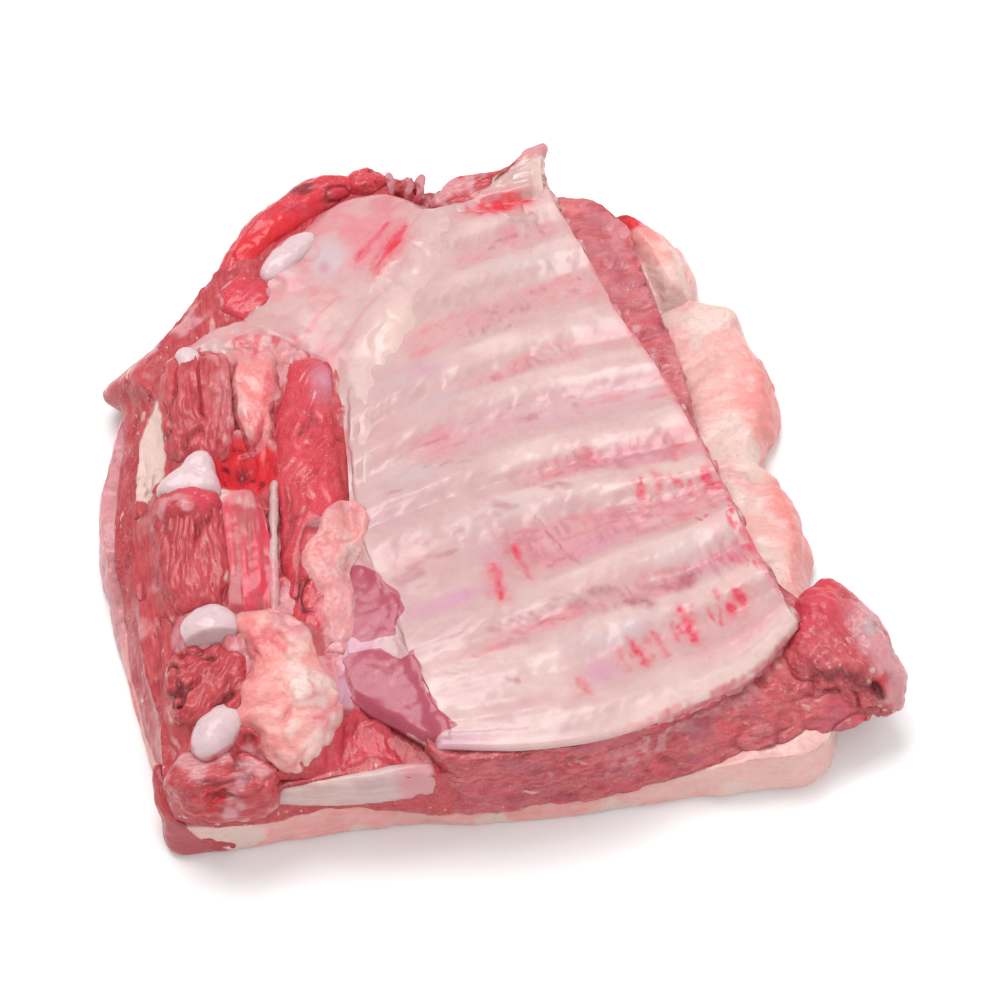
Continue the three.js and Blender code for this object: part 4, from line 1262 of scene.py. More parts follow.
# %% Cartilage caps
CAPS = [
    ([-91, -126, 43], [15, 23, 12], -28), ([-95, -87, 47], [20, 20, 13], 10), None,
    ([-110, 33, 45], [10, 14, 9], 20), ([-76, 86, 44], [12, 30, 10], -38),
]
CAP_3 = [[-117, -31], [-115, -24], [-110, -19], [-104, -12], [-100, -12], [-96, -21], [-95, -29], [-104, -33]]
caps = []
for number, dome in enumerate(CAPS, 1):
    if dome:
        cap = lump(*dome, sides=112, fine=0.45)
    else:
        cap = cushion(CAP_3, [-105, -23], 41, 54.2, 0.5, around=160, fine=0.5)
    cap.push(0.5 * rough(cap.points, 8, number) + 0.06 * noise(cap.points, 1.1, number))
    P = cap.points
    if number == 2:  # the second cap was cut off at the front
        P[:, 2] -= 7 * smooth(-P[:, 1] + 0.25 * (P[:, 0] + 95), 90.5, 92.5)
    low = fall(cap.known["rise"] + 0.1 * noise(P, 4, number + 3), 0.52, 0.74)
    cap.mark(rose=low * 0.9, blood=0.5 * low * dapples(P, 6, number + 5, 0, 0.6))
    piece(f"cap_{number}", cap, CARTILAGE)
    caps.append(cap)

# %% [markdown]
# ## Muscle between the caps
# Small bundles of muscle lie between the caps. The largest fans out from a red knot under the third cap, so
# its grain runs along rays from there.

# %% Backbone muscle
# The share of white is a pale painted highlight on the raised strands.
CHINE = [  # outline, middle, bottom, top, squareness, direction of the grain, strand, depth, share of white
    ([[-108, -141], [-104, -131], [-91, -128], [-76, -132], [-69, -139], [-72, -147], [-84, -151],
      [-98, -150]], [-88, -140], 21, 42, 0.45, 10, [12, 5, 5], 1.8, 0.15),
    ([[-110, -108], [-109, -96], [-99, -91], [-87, -93], [-79, -102], [-81, -116], [-90, -123], [-103, -122]],
     [-96, -107], 34, 47.5, 0.3, 60, [7, 5, 5], 2.0, 0.3),
    ([[-118, -24], [-107, -19], [-97, -28], [-91, -46], [-89, -64], [-92, -78], [-104, -79], [-112, -69],
      [-117, -46]], [-103, -50], 36, 52.3, 0.6, -78, [20, 4, 4], 1.9, 0.5),
    ([[-119, 32], [-107, 41], [-94, 34], [-91, 14], [-92, -6], [-101, -15], [-114, -8], [-119, 11]],
     [-105, 12], 34, 50, 0.6, -82, [16, 4.4, 5], 1.7, 0.5),
    ([[-101, 71], [-93, 79], [-82, 74], [-81, 61], [-91, 55], [-100, 60]], [-91, 67], 33, 46, 0.35, 50,
     [12, 5, 5], 0.5, 0.0),
]
meats = []
for number, (outline, heart, low, high, square, grain, strand, depth, white) in enumerate(CHINE, 1):
    meat = cushion(outline, heart, low, high, square, around=260, fine=0.55).turn_grain(grain)
    if number == 3:
        ray = meat.points[:, :2] - [-106, -12]
        fan = 45 * np.arctan2(ray[:, 0], -ray[:, 1])
        meat.grain = np.stack([np.hypot(*ray.T), fan, meat.points[:, 2]], -1)
    # fleshy paints shade into the creases and a pale highlight on some raised strands.
    fleshy(meat, strand, depth, 100 + 10 * number, white, 0.8 if number == 2 else 0.5)
    P = meat.points
    if number == 5:
        low_part = fall(meat.known["ring"] + 0.3 * (meat.known["rise"] < 0.5), 0, 1)
        meat.mark(
            stain=0.5 * low_part,
            rose=smooth(meat.known["ring"] + 0.2 * noise(P, 4, 151), 0.75, 0.95),
        )
    if number == 1:
        pit = hill(P + 1.5 * noise(P, 4, 111)[:, None], [-91, -148], (5, 3))
        meat.push(-2.2 * pit * smooth(P[:, 2], 26, 32))
        # The pit is painted red, with painted shade in it.
        meat.mark(
            blood=0.8 * pit,
            dark=0.5 * pit * dapples(meat.points, 3, 112, -0.4, 0.4),
            rose=0.2 + 0.7 * blotches(meat.points, 8, 113, -0.2, 0.8),
        )
    if number == 4:
        pale = smooth(P[:, 0] + 0.2 * P[:, 1] + 4 * noise(P, 7, 146), -101, -93)
        meat.mark(rose=0.5 * pale * (0.9 + 0.4 * noise(P, 5, 147)))
    if number == 3:
        knot = lump([-106, -35.5, 46.5], [24, 19, 17], 8, sides=120, fine=0.5)
        knot.push(0.8 * rough(knot.points, 7, 140) + 0.3 * noise(knot.points, [3, 6, 3], 141))
        knot.mark(
            stain=0.75 * smooth(rough(knot.points, 8, 143) + 0.1 * (knot.points[:, 1] + 34), -0.5, 0.3),
            rose=0.8 * dapples(knot.points, 5, 142, 0.3, 0.8),
        )
        knot.turn_grain(20)
        meat = joined([meat, knot])
    fresh = number == 5
    piece(f"chine_meat_{number}", meat, FRESH if fresh else LEAN)
    meats.append(meat)

# %% [markdown]
# The tenderloin is a dark red strip along the backbone, with a few long creases.

# %% The tenderloin
tenderloin = bundle(
    [[-66, 36, 41], [-66, 5, 43], [-63, -30, 43.5], [-60, -62, 43], [-57, -92, 41]], 24, 14, 0.25, sides=150,
    fine=0.7,
)
lie = tenderloin.grain + 2.5 * wander(tenderloin.points, 12, 205, 206, 207)
lie = lie @ np.array([[0.94, 0.34, 0], [-0.34, 0.94, 0], [0, 0, 1]])
tenderloin.grain = lie
cracks = creases(lie, [30, 9, 9], 203)
folds = 0.9 * rough(tenderloin.points, [12, 16, 12], 201) + 0.22 * noise(lie, [9, 1.6, 2], 202)
tenderloin.push(folds - 0.7 * cracks)
# Painted shade darkens the cracks; the strip is also painted darker towards its front end.
tenderloin.mark(
    violet=0.62 * hill(tenderloin.points, [-60, 24], (6, 12)),
    dark=0.5 * cracks + 0.22 * smooth(-tenderloin.points[:, 1], 20, 50),
    cream=0.6 * dapples(lie, [8, 1.0, 2], 204, 0.62, 0.85) * hill(tenderloin.points, [-62, 10], (9, 30)),
)
piece("tenderloin", tenderloin, FRESH)

# %% [markdown]
# A large lump of fat lies at the front. Two smaller ones, the tendon and the knob at the back right are only
# forms here: further on they carry the skins that are drawn over them.

# %% Lumps of fat
fat_lump = cushion(
    [[-88, -80], [-76, -77], [-62, -84], [-55, -98], [-49, -112], [-49, -124], [-56, -134], [-64, -139],
     [-74, -134], [-79, -127], [-85, -125], [-86, -112], [-81, -102], [-84, -92]],
    [-68, -108], 30, 51, 0.6, 0.1, around=330, fine=0.55,
)
fatty(fat_lump, [9, 8, 7], 1.5, 221, 0.0, 0.55)
P = fat_lump.points
x, y, z = P.T
top_end = smooth(y + 0.5 * x + 4 * noise(P, 8, 227), -132, -116)
fat_lump.mark(rose=0.9 * top_end * dapples(P, [6, 5, 5], 225, -0.5, 0.3))
lines = creases(P @ TWIST, [12, 10, 9], 228)
fat_lump.mark(
    stain=0.55 * lines + 0.35 * top_end * dapples(P, [5, 3, 4], 226, 0.1, 0.6),
    pearl=0.6 * hill(P, [-57, -114], (5, 15), 15) * (0.8 + 0.4 * noise(P, 6, 229)),
    cream=0.6 * smooth(x + 5 * noise(P, 8, 230), -76, -60),
    salmon=0.5 * fall(x + 5 * noise(P, 9, 231), -78, -64),
)
piece("fat_lump", fat_lump, FAT)

knob_form = cushion(
    [[-91, 36], [-82, 38], [-77, 27], [-77, 12], [-79, 2], [-85, -3], [-90, 1], [-92, 14]],
    [-84, 16], 36, 50.5,
)
shelf_form = cushion(
    [[-108, 41], [-104, 50], [-92, 54], [-76, 52], [-70, 44], [-80, 38], [-95, 37]], [-90, 46], 34, 46.5,
)
fatty(knob_form, [7, 12, 8], 1.6, 231)
fatty(shelf_form, [10, 8, 8], 1.2, 241)
tendon_form = cushion(
    [[-97, -29], [-86, -24], [-79, -33], [-77, -57], [-77, -78], [-90, -78], [-92, -57]],
    [-85, -50], 36, 48.5,
)
belly_form = lump([64, 110, 19], [52, 28, 15], -56)

# %% [markdown]
# A strip of white sinew runs between the tendon and the tenderloin.

# %% White strip
white_strip = bundle(
    [[-76, -22, 45.6], [-74.6, -55, 46.2], [-73, -86, 44.6]], 3.4, 4.0, 0.2, sides=56, fine=0.6)
white_strip.push(0.5 * rough(white_strip.points, 7, 321) + 0.2 * rough(white_strip.points, 2.2, 323))
white_strip.mark(rose=0.9 * dapples(white_strip.points, 7, 322, -0.6, 0.3))
piece("white_strip", white_strip, MEMBRANE)

# %% [markdown]
# ## The tissue between the pieces
# The gaps between the pieces are filled by the loin's own flesh. Its surface is the blurred ground, a little
# lower, with films of pale fat in some places and a deep red hollow behind the third cap.

# %% Backbone tissue
shoulder_form = cushion(
    [[-84, 64], [-77, 80], [-68, 103], [-56, 117], [-42, 121], [-27, 115], [-25, 94], [-30, 68], [-38, 43],
     [-46, 14], [-54, 28], [-64, 42], [-80, 46]],
    [-56, 72], 35, 45.6, 0.45, around=420, fine=0.6,
)
diaphragm_form = cushion(
    [[-50, -57], [-40, -57], [-28, -70], [-26, -84], [-22, -95], [-14, -112], [-10, -124], [-18, -130],
     [-36, -118], [-48, -110], [-51, -85]],
    [-34, -90], 37, 44.5, 0.3, around=420, fine=0.55,
)
HOLE = [-88, -15]  # the deep red hollow behind the third cap
TRIANGLE = [[-60, -146], [-60, -130], [-52, -114], [-47, -109], [-36, -117], [-24, -125], [-14, -130],
            [-14, -134], [-29, -139], [-47, -144]]
ground = Ground(loin_top)
ground.lay(sheet, *caps, *meats, tenderloin, fat_lump, knob_form, shelf_form, tendon_form, white_strip)
ground.lay(shoulder_form, diaphragm_form)
seams = ground.blurred(3.4)
covered = Ground(lambda x, y: 0 * x)
covered.height = np.where(ground.height > Ground(loin_top).height + 1.5, 1.0, 0.0)
inner = covered.blurred(2.2)
print("the ground reaches", round(float(ground.height.max()), 1), "mm")


def bed_top(x, y):
    """The blurred ground, a little lower and lower still below the pieces, but at least the loin's top, less
    the hollow."""
    height = np.maximum(seams(x, y) - 0.9 - 2.6 * smooth(inner(x, y), 0.84, 0.98), loin_top(x, y))
    return height - 5.5 * hill(np.stack([x.ravel(), y.ravel()], -1), HOLE, (6, 8)).reshape(x.shape)


tissue_bed = skin(
    [[-100, -143], [-113, -112], [-121, -80], [-126, -40], [-127, 0], [-126, 30], [-122, 52], [-104, 80],
     [-86, 98]],
    [[-26, -136], [-36, -112], [-42, -80], [-46, -40], [-48, 0], [-50, 30], [-60, 52], [-62, 76], [-60, 100]],
    bed_top, 0.5, 5, 3.0, 0.85,
)
tissue_bed.turn_grain(-80)
# fleshy paints shade into the creases and a pale highlight on some raised strands.
fleshy(tissue_bed, [12, 4, 4], 1.3, 501, 0.5, 0.5)
P = tissue_bed.points
mottle = rough(P, 12, 505)
hollow = reach(P, HOLE, (13, 13))
tissue_bed.fade(1 - hollow, "cream")
# The hollow is painted red, and painted shade darkens it, most in its middle.
tissue_bed.mark(
    blood=1.1 * hollow * (0.85 + 0.3 * noise(P, 4, 506)),
    dark=0.6 * hill(P, HOLE, (5, 6)) + 0.6 * hollow * dapples(P, 3.5, 507, 0.1, 0.7),
)
films = np.max([
    reach(P, [-88, 42], (18, 8), 10), 0.9 * reach(P, [-82, 32], (10, 14)),
    0.7 * reach(P, [-86, -98], (7, 8)), 0.8 * reach(P, [-104, -86], (5, 8)),
    0.7 * reach(P, [-74, -80], (14, 4), 10),
], axis=0) * (1 - hollow)
bare = within(P + 1.2 * noise(P, 5, 509)[:, None], TRIANGLE, 1.6)
mottled = np.maximum(films, 0.8 * smooth(mottle, 0.2, 1.0) * (1 - hollow))
tissue_bed.mark(rose=mottled + 0.7 * reach(P, [-94, -98], (14, 5)))
WEDGE = [[-120, 20], [-129, 0], [-130, -20], [-121, -25], [-116, -10], [-118, 8]]
wedge = within(P[:, :2] + 1.5 * wander(P, 5, 511, 512), WEDGE, 1.5)
tissue_bed.mark(cream=1.1 * wedge, stain=0.7 * films * dapples(P, [6, 8, 6], 508, 0.1, 0.6))
tissue_bed.fade(1 - 0.85 * bare, "rose", "cream", "dark")
tissue_bed.mark(stain=bare * (0.45 + 0.35 * noise(P, 2.2, 510)), dark=0.14 * bare)
piece("backbone_tissue", tissue_bed, LEAN, extra=True)

# %% [markdown]
# The fat between the caps, the pale shelf beside the shoulder and the striped tendon have no clear edge: they
# fade into the flesh round them. So each is a skin over its own form and the tissue.

# %% Fat on the backbone side, and the tendon
over = Ground(loin_top).lay(tissue_bed, shelf_form, knob_form).blurred(0.9, 1)
fat_shelf = skin(
    [[-112, 40], [-104, 36], [-95, 35], [-86, 36], [-78, 34], [-70, 33]],
    [[-113, 46], [-104, 52], [-95, 56], [-86, 57], [-76, 55], [-66, 50]], over, 0.3, 4, 3.0, 0.5,
)
P = fat_shelf.points
fat_shelf.push(fat_shelf.known["top"] * (0.5 * rough(P, 9, 242) - 0.5 * creases(P, [10, 6, 8], 246)))
edge = fall(fat_shelf.known["margin"], 0.8, 4)
fat_shelf.mark(
    rose=0.6 * blotches(P, 8, 243, -0.3, 0.6) + 0.6 * edge,
    stain=0.8 * dapples(P, [7, 4, 6], 244, 0.2, 0.7) * fall(P[:, 1], 42, 50),
)
fat_shelf.mark(stain=0.6 * edge * dapples(P, 5, 247, -0.1, 0.5) + 0.7 * hill(P, [-86, 41], (4, 3)))
piece("fat_shelf", fat_shelf, MEMBRANE)

over = Ground(loin_top).lay(tissue_bed, fat_shelf, knob_form).blurred(0.8, 1)
fat_knob = skin(
    [[-85, -8], [-88, -2], [-91, 6], [-92, 14], [-95, 22], [-93, 31], [-98, 39], [-95, 46]],
    [[-82, -8], [-79, -5], [-77, 3], [-78, 11], [-74, 18], [-76, 24], [-75, 32], [-70, 39], [-72, 47]],
    over, 0.3, 4.5, 3.0, 0.45,
)
fat_knob.turn_grain(85)
P = fat_knob.points
fatty(fat_knob, [7, 14, 9], 0.8, 232, 0.1, 1.0)
fat_knob.mark(
    rose=0.3 + 0.3 * smooth(P[:, 1], 22, 40),
    stain=0.7 * dapples(fat_knob.grain, [13, 3.4, 4], 233, 0.1, 0.6),
    lean=0.7 * fall(fat_knob.known["margin"], 0.6, 2.5),
)
piece("fat_knob", fat_knob, FAT)

over = Ground(loin_top).lay(tissue_bed, tendon_form, white_strip).blurred(0.9, 1)
tendon = skin(
    [[-92, -79], [-93, -66], [-95, -57], [-97, -47], [-98, -38], [-97, -26]],
    [[-75, -80], [-74.5, -66], [-75, -55], [-77, -44], [-79, -35], [-83, -22]], over, 0.1, 3.0, 2.6, 0.45,
)
tendon.turn_grain(-83)
P = tendon.points
at_u, at_v = tendon.known["u"], tendon.known["v"]
cord = noise(tendon.grain, [26, 2.4, 5], 312) + 0.5 * noise(tendon.grain, [16, 1.3, 5], 316)
tendon.push(tendon.known["top"] * (0.4 * cord + 0.3 * rough(P, 8, 317)))
upper_end = smooth(at_v + 0.1 * noise(P, 7, 319), 0.68, 0.9)
tendon.mark(rose=1 - 0.8 * upper_end, lean=0.35 * (1 - upper_end))
tendon.mark(
    lean=np.maximum(smooth(-cord + 0.9 * (0.55 - at_u), -0.7, 0.25) * (1 - 0.8 * upper_end),
        0.9 * fall(tendon.known["margin"], 0.8, 2.6)),
    stain=0.95 * smooth(cord + 1.6 * (at_u - 0.5), -0.4, 0.4) * (1 - 0.3 * upper_end),
    milk=0.7 * upper_end * fall(at_u + 0.3 * noise(P, 5, 318), 0.4, 0.7)
        * smooth(tendon.known["margin"], 1.5, 4),
)
tendon.mark(pearl=0.4 * smooth(cord - 1.4 * np.abs(at_u - 0.45), 0.2, 0.7) * (1 - 0.5 * upper_end))
tendon.mark(dark=0.35 * smooth(-cord, 0.5, 1.1) * (1 - upper_end))
piece("tendon", tendon, MEMBRANE)

# %% [markdown]
# ## The shoulder and the thin muscle
# Both grow together with the rib sheet, so each is a skin whose right border lies on the sheet. The shoulder
# is a thick pale membrane over the first ribs; the thin muscle is purple where the membrane over it is torn.

# %% Shoulder
over = Ground(loin_top).lay(sheet, shoulder_form, fat_shelf, tissue_bed).blurred(2.2, 1)
shoulder = skin(
    [[-49, -34], [-50, -16], [-52, 2], [-54, 18], [-59, 31], [-68, 39], [-80, 44], [-90, 50], [-90, 62],
     [-87, 76], [-82, 90], [-73, 106], [-60, 121], [-44, 126]],
    [[-39, -34], [-37, -16], [-36, 2], [-34, 20], [-30, 36], [-24, 50], [-20, 62], [-16, 76], [-12, 90],
     [-10, 104], [-12, 113], [-18, 119]],
    over, 0.4, 11, 3.0, 0.7,
)
shoulder.turn_grain(62)
P = shoulder.points
x, y, z = P.T
on_top = shoulder.known["top"]
lines = creases(P, [16, 20, 12], 304) * smooth(shoulder.known["margin"], 5, 11)
folds = 0.35 * rough(P, 14, 301) + 0.12 * noise(shoulder.grain, [14, 4, 4], 302)
shoulder.push(on_top * (folds - 0.35 * lines))
left_part = fall(x - 0.42 * (y - 60), -50, -34)
shoulder.mark(
    pearl=1.3 * hill(P, [-61, 81], (4.5, 6)) + 0.6 * hill(P, [-58, 88], (7, 12), 60),
    violet=0.6 * hill(P, [-62, 79], (3.0, 4.0)),
    bruise=0.35 * hill(P, [-62, 79], (2.0, 2.8)),
)
streak = strokes(P, [(-44, 74, -31, 99)], 2.6, 0.5)
streak = np.maximum(streak, 0.8 * strokes(P, [(-50, 82, -38, 102)], 1.8, 0.5))
threads = 0.75 + 0.5 * noise(shoulder.grain, [9, 1.3, 4], 305)
shoulder.mark(
    stain=streak * threads + 0.35 * hill(P, [-42, 92], (9, 16), -25) * threads,
    blood=0.75 * strokes(P, [(-42, 76, -34, 92)], 2.0, 0.5) * threads,
)
veins = creases(shoulder.grain, [16, 7, 9], 308) + 0.8 * creases(P, [14, 18, 9], 309)
pinks = 0.28 + 0.4 * blotches(P, 11, 303, -0.3, 0.8) + 0.5 * hill(P, [-70, 104], (8, 24), -35)
pinks = pinks * left_part * (1 - 0.8 * hill(P, [-52, 58], (16, 12), 30))
shoulder.mark(
    rose=1.2 * pinks + 0.5 * hill(P, [-48, 96], (10, 14), -25),
    stain=0.75 * hill(P, [-80, 96], (4, 24), -35) * (0.6 + 0.7 * threads) + 0.35 * veins * left_part,
)
shoulder.mark(
    stain=0.55 * dapples(P, [7, 9, 7], 306, 0.2, 0.7) * fall(shoulder.known["margin"], 2, 7),
    cream=0.6 * hill(P, [-36, 46], (10, 26), -20) + 0.5 * hill(P, [-62, 56], (14, 7), 20),
    milk=0.45 * (1 - left_part),
)
piece("shoulder", shoulder, MEMBRANE)

# %% [markdown]
# The thin muscle is veiled by a film at its left, and its fibres show as fine lines.

# %% The thin muscle
over = Ground(loin_top).lay(sheet, diaphragm_form, tissue_bed).blurred(1.6, 1)
diaphragm = skin(
    [[-16, -132.5], [-30, -123], [-47, -111], [-51, -100], [-52, -88], [-52, -72], [-50, -56], [-44, -40]],
    [[-10, -132.5], [-10, -125], [-15, -117], [-18, -110], [-20, -103], [-23, -96], [-28, -90], [-29, -84],
     [-28, -77], [-31, -69], [-36, -61], [-41, -53], [-45, -43]],
    over, 0.15, 3, 2.4, 0.5,
)
diaphragm.turn_grain(60)
P = diaphragm.points
x, y, z = P.T
on_top = diaphragm.known["top"]
diaphragm.push(on_top * (0.3 * rough(P, 9, 401) + 0.15 * noise(diaphragm.grain, [12, 3, 4], 402)))
muscle = purple(P)
veil = fall(x + 0.2 * (y + 90) + 3 * noise(P, 6, 407), -52, -42)
diaphragm.mark(
    purple=muscle * (1 - 0.45 * veil),
    violet=fall(x + 0.35 * (y + 95), -44, -28) * (1 - muscle),
    pearl=0.7 * veil,
    rose=0.5 * blotches(P, 10, 408, -0.3, 0.5) * smooth(y, -84, -70),
)
fine_lines = dapples(diaphragm.grain, [10, 1.2, 4], 409, 0.2, 0.8)
diaphragm.mark(violet=0.2 * muscle * fine_lines, lean=0.5 * muscle * smooth(-y, 98, 116))
piece("diaphragm", diaphragm, FASCIA)

# %% [markdown]
# The ribbon of fat lies over the tenderloin, the thin muscle and the edge of the sheet, so it is a thicker
# skin over all three. A thin net of white threads and film joins its lower end to the large lump of fat.

# %% Ribbon of fat, and the net below it
over = Ground(loin_top).lay(sheet, tissue_bed, tenderloin, diaphragm, shoulder, fat_lump).blurred(1.6, 1)
ribbon = skin(
    [[-57, -97], [-57, -88], [-59.5, -80], [-59, -73], [-63, -66], [-66, -60], [-65.5, -52], [-61, -46],
     [-59, -39], [-55, -33], [-50, -30]],
    [[-48, -97], [-44, -86], [-44.5, -76], [-45, -70], [-48, -62], [-46.5, -56], [-42.5, -48], [-40.5, -42],
     [-41, -36], [-43.5, -32], [-47, -29.5]],
    over, 1.3, 3.8, 3.0, 0.45,
)
ribbon.turn_grain(75)
fatty(ribbon, [8, 8, 7], 0.5, 211, 0.1, 0.6)
at_v = ribbon.known["v"]
ribbon.mark(
    rose=0.45 + 0.15 * noise(ribbon.points, 9, 215),
    stain=0.5 * dapples(ribbon.points, 6, 214, 0.2, 0.7) * smooth(at_v, 0.75, 0.95),
    violet=0.7 * fall(at_v, 0.05, 0.3),
    lean=0.6 * fall(at_v, 0.0, 0.12),
)
piece("fat_ribbon", ribbon, FAT)

over = Ground(loin_top).lay(sheet, tissue_bed, tenderloin, diaphragm, ribbon, fat_lump).blurred(2.0)
net_film = skin(
    [[-52, -121], [-57, -108], [-61, -96], [-64, -86], [-63, -76], [-60, -70]],
    [[-43, -116], [-44, -104], [-45, -92], [-46, -84], [-49, -76], [-55, -70]],
    over, 0.0, 5.0, 1.6, 0.45,
)
net_film.turn_grain(80)
P = net_film.points
x = P[:, 0]
net = smooth(1 - np.abs(noise(P, [6, 11, 8], 421)) * 4, 0.0, 0.9)
net = np.maximum(net, smooth(1 - np.abs(noise(P @ TWIST, [11, 5, 8], 422)) * 5, 0.1, 0.9))
inner = smooth(net_film.known["margin"], 0.5, 4)
net_film.push(net_film.known["top"] * (0.12 * net + 0.35 * rough(P, 8, 423)))
net_film.mark(lean=1 - inner, rose=0.9 * inner)
net_film.mark(
    lean=0.8 * smooth(rough(P, 7, 425) - 0.09 * (x + 53), -0.4, 0.5),
    stain=0.6 * (1 - net) * dapples(P, 7, 424, -0.1, 0.5) * fall(x, -54, -48),
    violet=0.9 * inner * smooth(x, -54, -48),
)
net_film.mark(cream=0.42 * net * inner)
piece("net_film", net_film, MEMBRANE, extra=True)

# %% [markdown]
# ## Back rim
# Along the back edge lie a bright red roll of muscle, a dark lump on it, torn shreds, and a thin flap that is
# folded up to a point.

# %% Back rim
rim_meat = bundle(
    [[-100, 74, 35], [-93, 89, 37], [-84, 104, 37], [-74, 117, 36], [-62, 127, 35], [-50, 131, 33]],
    17, 17, 0.3, waves=3, sway=0.06, sides=150, fine=0.6,
)
cracks = creases(rim_meat.grain, [26, 9, 9], 332)
folds = 0.7 * rough(rim_meat.points, 9, 331) + 0.4 * noise(rim_meat.grain, [16, 4, 4], 335)
rim_meat.push(folds - 0.8 * cracks)
# Painted shade darkens the cracks.
rim_meat.mark(
    blood=0.9 * blotches(rim_meat.points, 14, 333, -0.5, 0.4),
    dark=0.6 * cracks,
)
piece("rim_meat", rim_meat, FRESH)

top_lump = lump([-48, 131, 36], [16, 13, 11], 10, 3, 0.08, sides=110, fine=0.5)
top_lump.push(0.9 * rough(top_lump.points, 6, 341, 4))
top_lump.mark(dark=0.8 * blotches(top_lump.points, 8, 343, -0.2, 0.7))
piece("top_lump", top_lump, FRESH)

torn_edge = lump([-33, 128, 36], [13, 10, 9], 0, 5, 0.22, sides=130, fine=0.45)
# fleshy paints shade into the creases and a pale highlight on some raised strands.
fleshy(torn_edge, [5, 3, 3], 1.2, 350)
SHREDS = [([-37, 120], [-39, 128], 2.6), ([-32, 119], [-31, 125], 2.2), ([-28, 119], [-26, 127], 2.8)]
shreds = [torn_edge]
for root, tip, wide in SHREDS:
    bend = [(root[0] + tip[0]) / 2 + 0.7, (root[1] + tip[1]) / 2]
    shred = bundle([[*root, 38], [*bend, 43], [*tip, 47]], wide * 1.6, wide, 0.9, 0.4, sides=48, fine=0.3)
    shred.points[:, :2] += 0.9 * wander(shred.points, 2.6, 351, 352)
    shred.mark(rose=0.9 * smooth(shred.points[:, 2] + 3 * noise(shred.points, 4, 353), 38, 43))
    shreds.append(shred)
piece("torn_edge", joined(shreds), LEAN)

back_flap = cushion(
    [[-22, 117], [-21, 124], [-16, 129], [-6, 132], [4, 134], [12, 138], [19, 146], [23, 147], [22, 137],
     [22, 128], [12, 122], [0, 117], [-12, 112]],
    [2, 126], 33, 43.4, 0.35, 0.12, around=420, fine=0.55,
)
back_flap.turn_grain(22)
# fleshy paints shade into the creases and a pale highlight on some raised strands.
fleshy(back_flap, [14, 4, 4], 1.1, 361, 0.4, 0.5)
P = back_flap.points
x, y, z = P.T
back_flap.mark(
    rose=0.8 * blotches(P, 10, 363, -0.3, 0.5),
    cream=1.1 * smooth(x - 0.9 * (y - 130), 2, 12),
)
piece("back_flap", back_flap, LEAN)

over = Ground(lambda x, y: 36 + 0 * x).lay(sheet, back_flap).blurred(1.0, 2)
back_film = skin(
    [[8, 106], [-2, 109], [-14, 109], [-16, 114]],
    [[22, 108], [22, 120], [20.5, 133], [21, 144]],
    over, 0.25, 5.0, 1.8, 0.55,
)
P = back_film.points
x, y, z = P.T
back_film.turn_grain(22)
film_red = np.maximum(hill(P, [4, 116], (12, 5), 18), 0.9 * hill(P, [15, 117], (6, 3.4), -10))
back_film.mark(
    stain=0.95 * film_red * (0.9 + 0.4 * noise(P, 4, 365)),
    blood=0.8 * film_red * (0.8 + 0.5 * noise(P, 3, 366)),
    pearl=0.9 * hill(P, [-10, 113], (12, 4), 5),
    cream=0.8 * smooth(x, 14, 20) * smooth(y, 112, 120),
)
piece("back_film", back_film, MEMBRANE, extra=True)

# %% [markdown]
# ## Front corners
# At the right the corner of the meat is rolled in: a knob of flesh with a silvery skin, a deep fold and a
# pit. At the left lie a red wedge and the bare bone.

# %% Front corners
corner_roll = cushion(
    [[103, -70], [111, -57], [121, -52], [131, -58], [138, -68], [143, -82], [146, -96], [139, -104],
     [127, -104], [110, -101], [100, -88]],
    [122, -80], 4, 38, around=420, fine=0.6,
)
corner_roll.turn_grain(-50)
FOLD = [[106, -104], [112, -97], [123, -97], [132, -101], [137, -103]]
P = corner_roll.points
fold = strokes(P, [(*a, *b) for a, b in zip(FOLD, FOLD[1:])] * 2, 3.0, 0.3)
pit = hill(P, [136, -100], (4.5, 3.2), 20)
lie = corner_roll.grain + 2 * wander(P, 9, 370, 371, 372)
folds = noise(lie, [18, 9, 9], 371) + 0.5 * noise(lie, [9, 4, 5], 373)
cracks = creases(lie, [24, 9, 9], 375)
lobes = 1.5 * folds + 0.5 * rough(P, 5, 374) + 0.3 * noise(P, 1.8, 372)
corner_roll.push(lobes - 1.8 * fold - 2.6 * pit - 1.6 * cracks)
x, y, z = corner_roll.points.T
silver = smooth(x + 0.25 * y + 3 * noise(P, 8, 376), 104, 116)
# Painted shade darkens the fold, the pit and the cracks; the pit is also painted red.
corner_roll.mark(
    rose=0.9 * silver * dapples(P, 7, 377, -0.6, 0.1),
    pearl=0.9 * hill(P, [131, -80], (5, 11), 30) + 0.8 * hill(P, [141, -88], (5, 9)),
    stain=0.75 * (1 - silver) * smooth(y + 6 * noise(P, 9, 378), -92, -70),
    blood=0.8 * pit + 0.6 * hill(P, [121, -62], (9, 8)) * (1 - silver),
    dark=0.55 * fold + 0.7 * hill(P, [136, -101], (3, 2)) + 0.5 * cracks * (1 - 0.6 * silver),
    cream=0.6 * blotches(P, [4, 4, 3], 379, 0.5, 1.0) + 0.5 * silver * cracks,
)
piece("corner_roll", corner_roll, CUT)

corner_meat = bundle(
    [[-113, -124, 19], [-107, -140, 13], [-96, -145, 7], [-84, -145, 4.5]], 9, 13, 0.4, sides=110, fine=0.5,
)
# fleshy paints shade into the creases and a pale highlight on some raised strands.
fleshy(corner_meat, [14, 4, 4], 0.5, 380, 0.2, 0.2)
piece("corner_meat", corner_meat, LEAN)

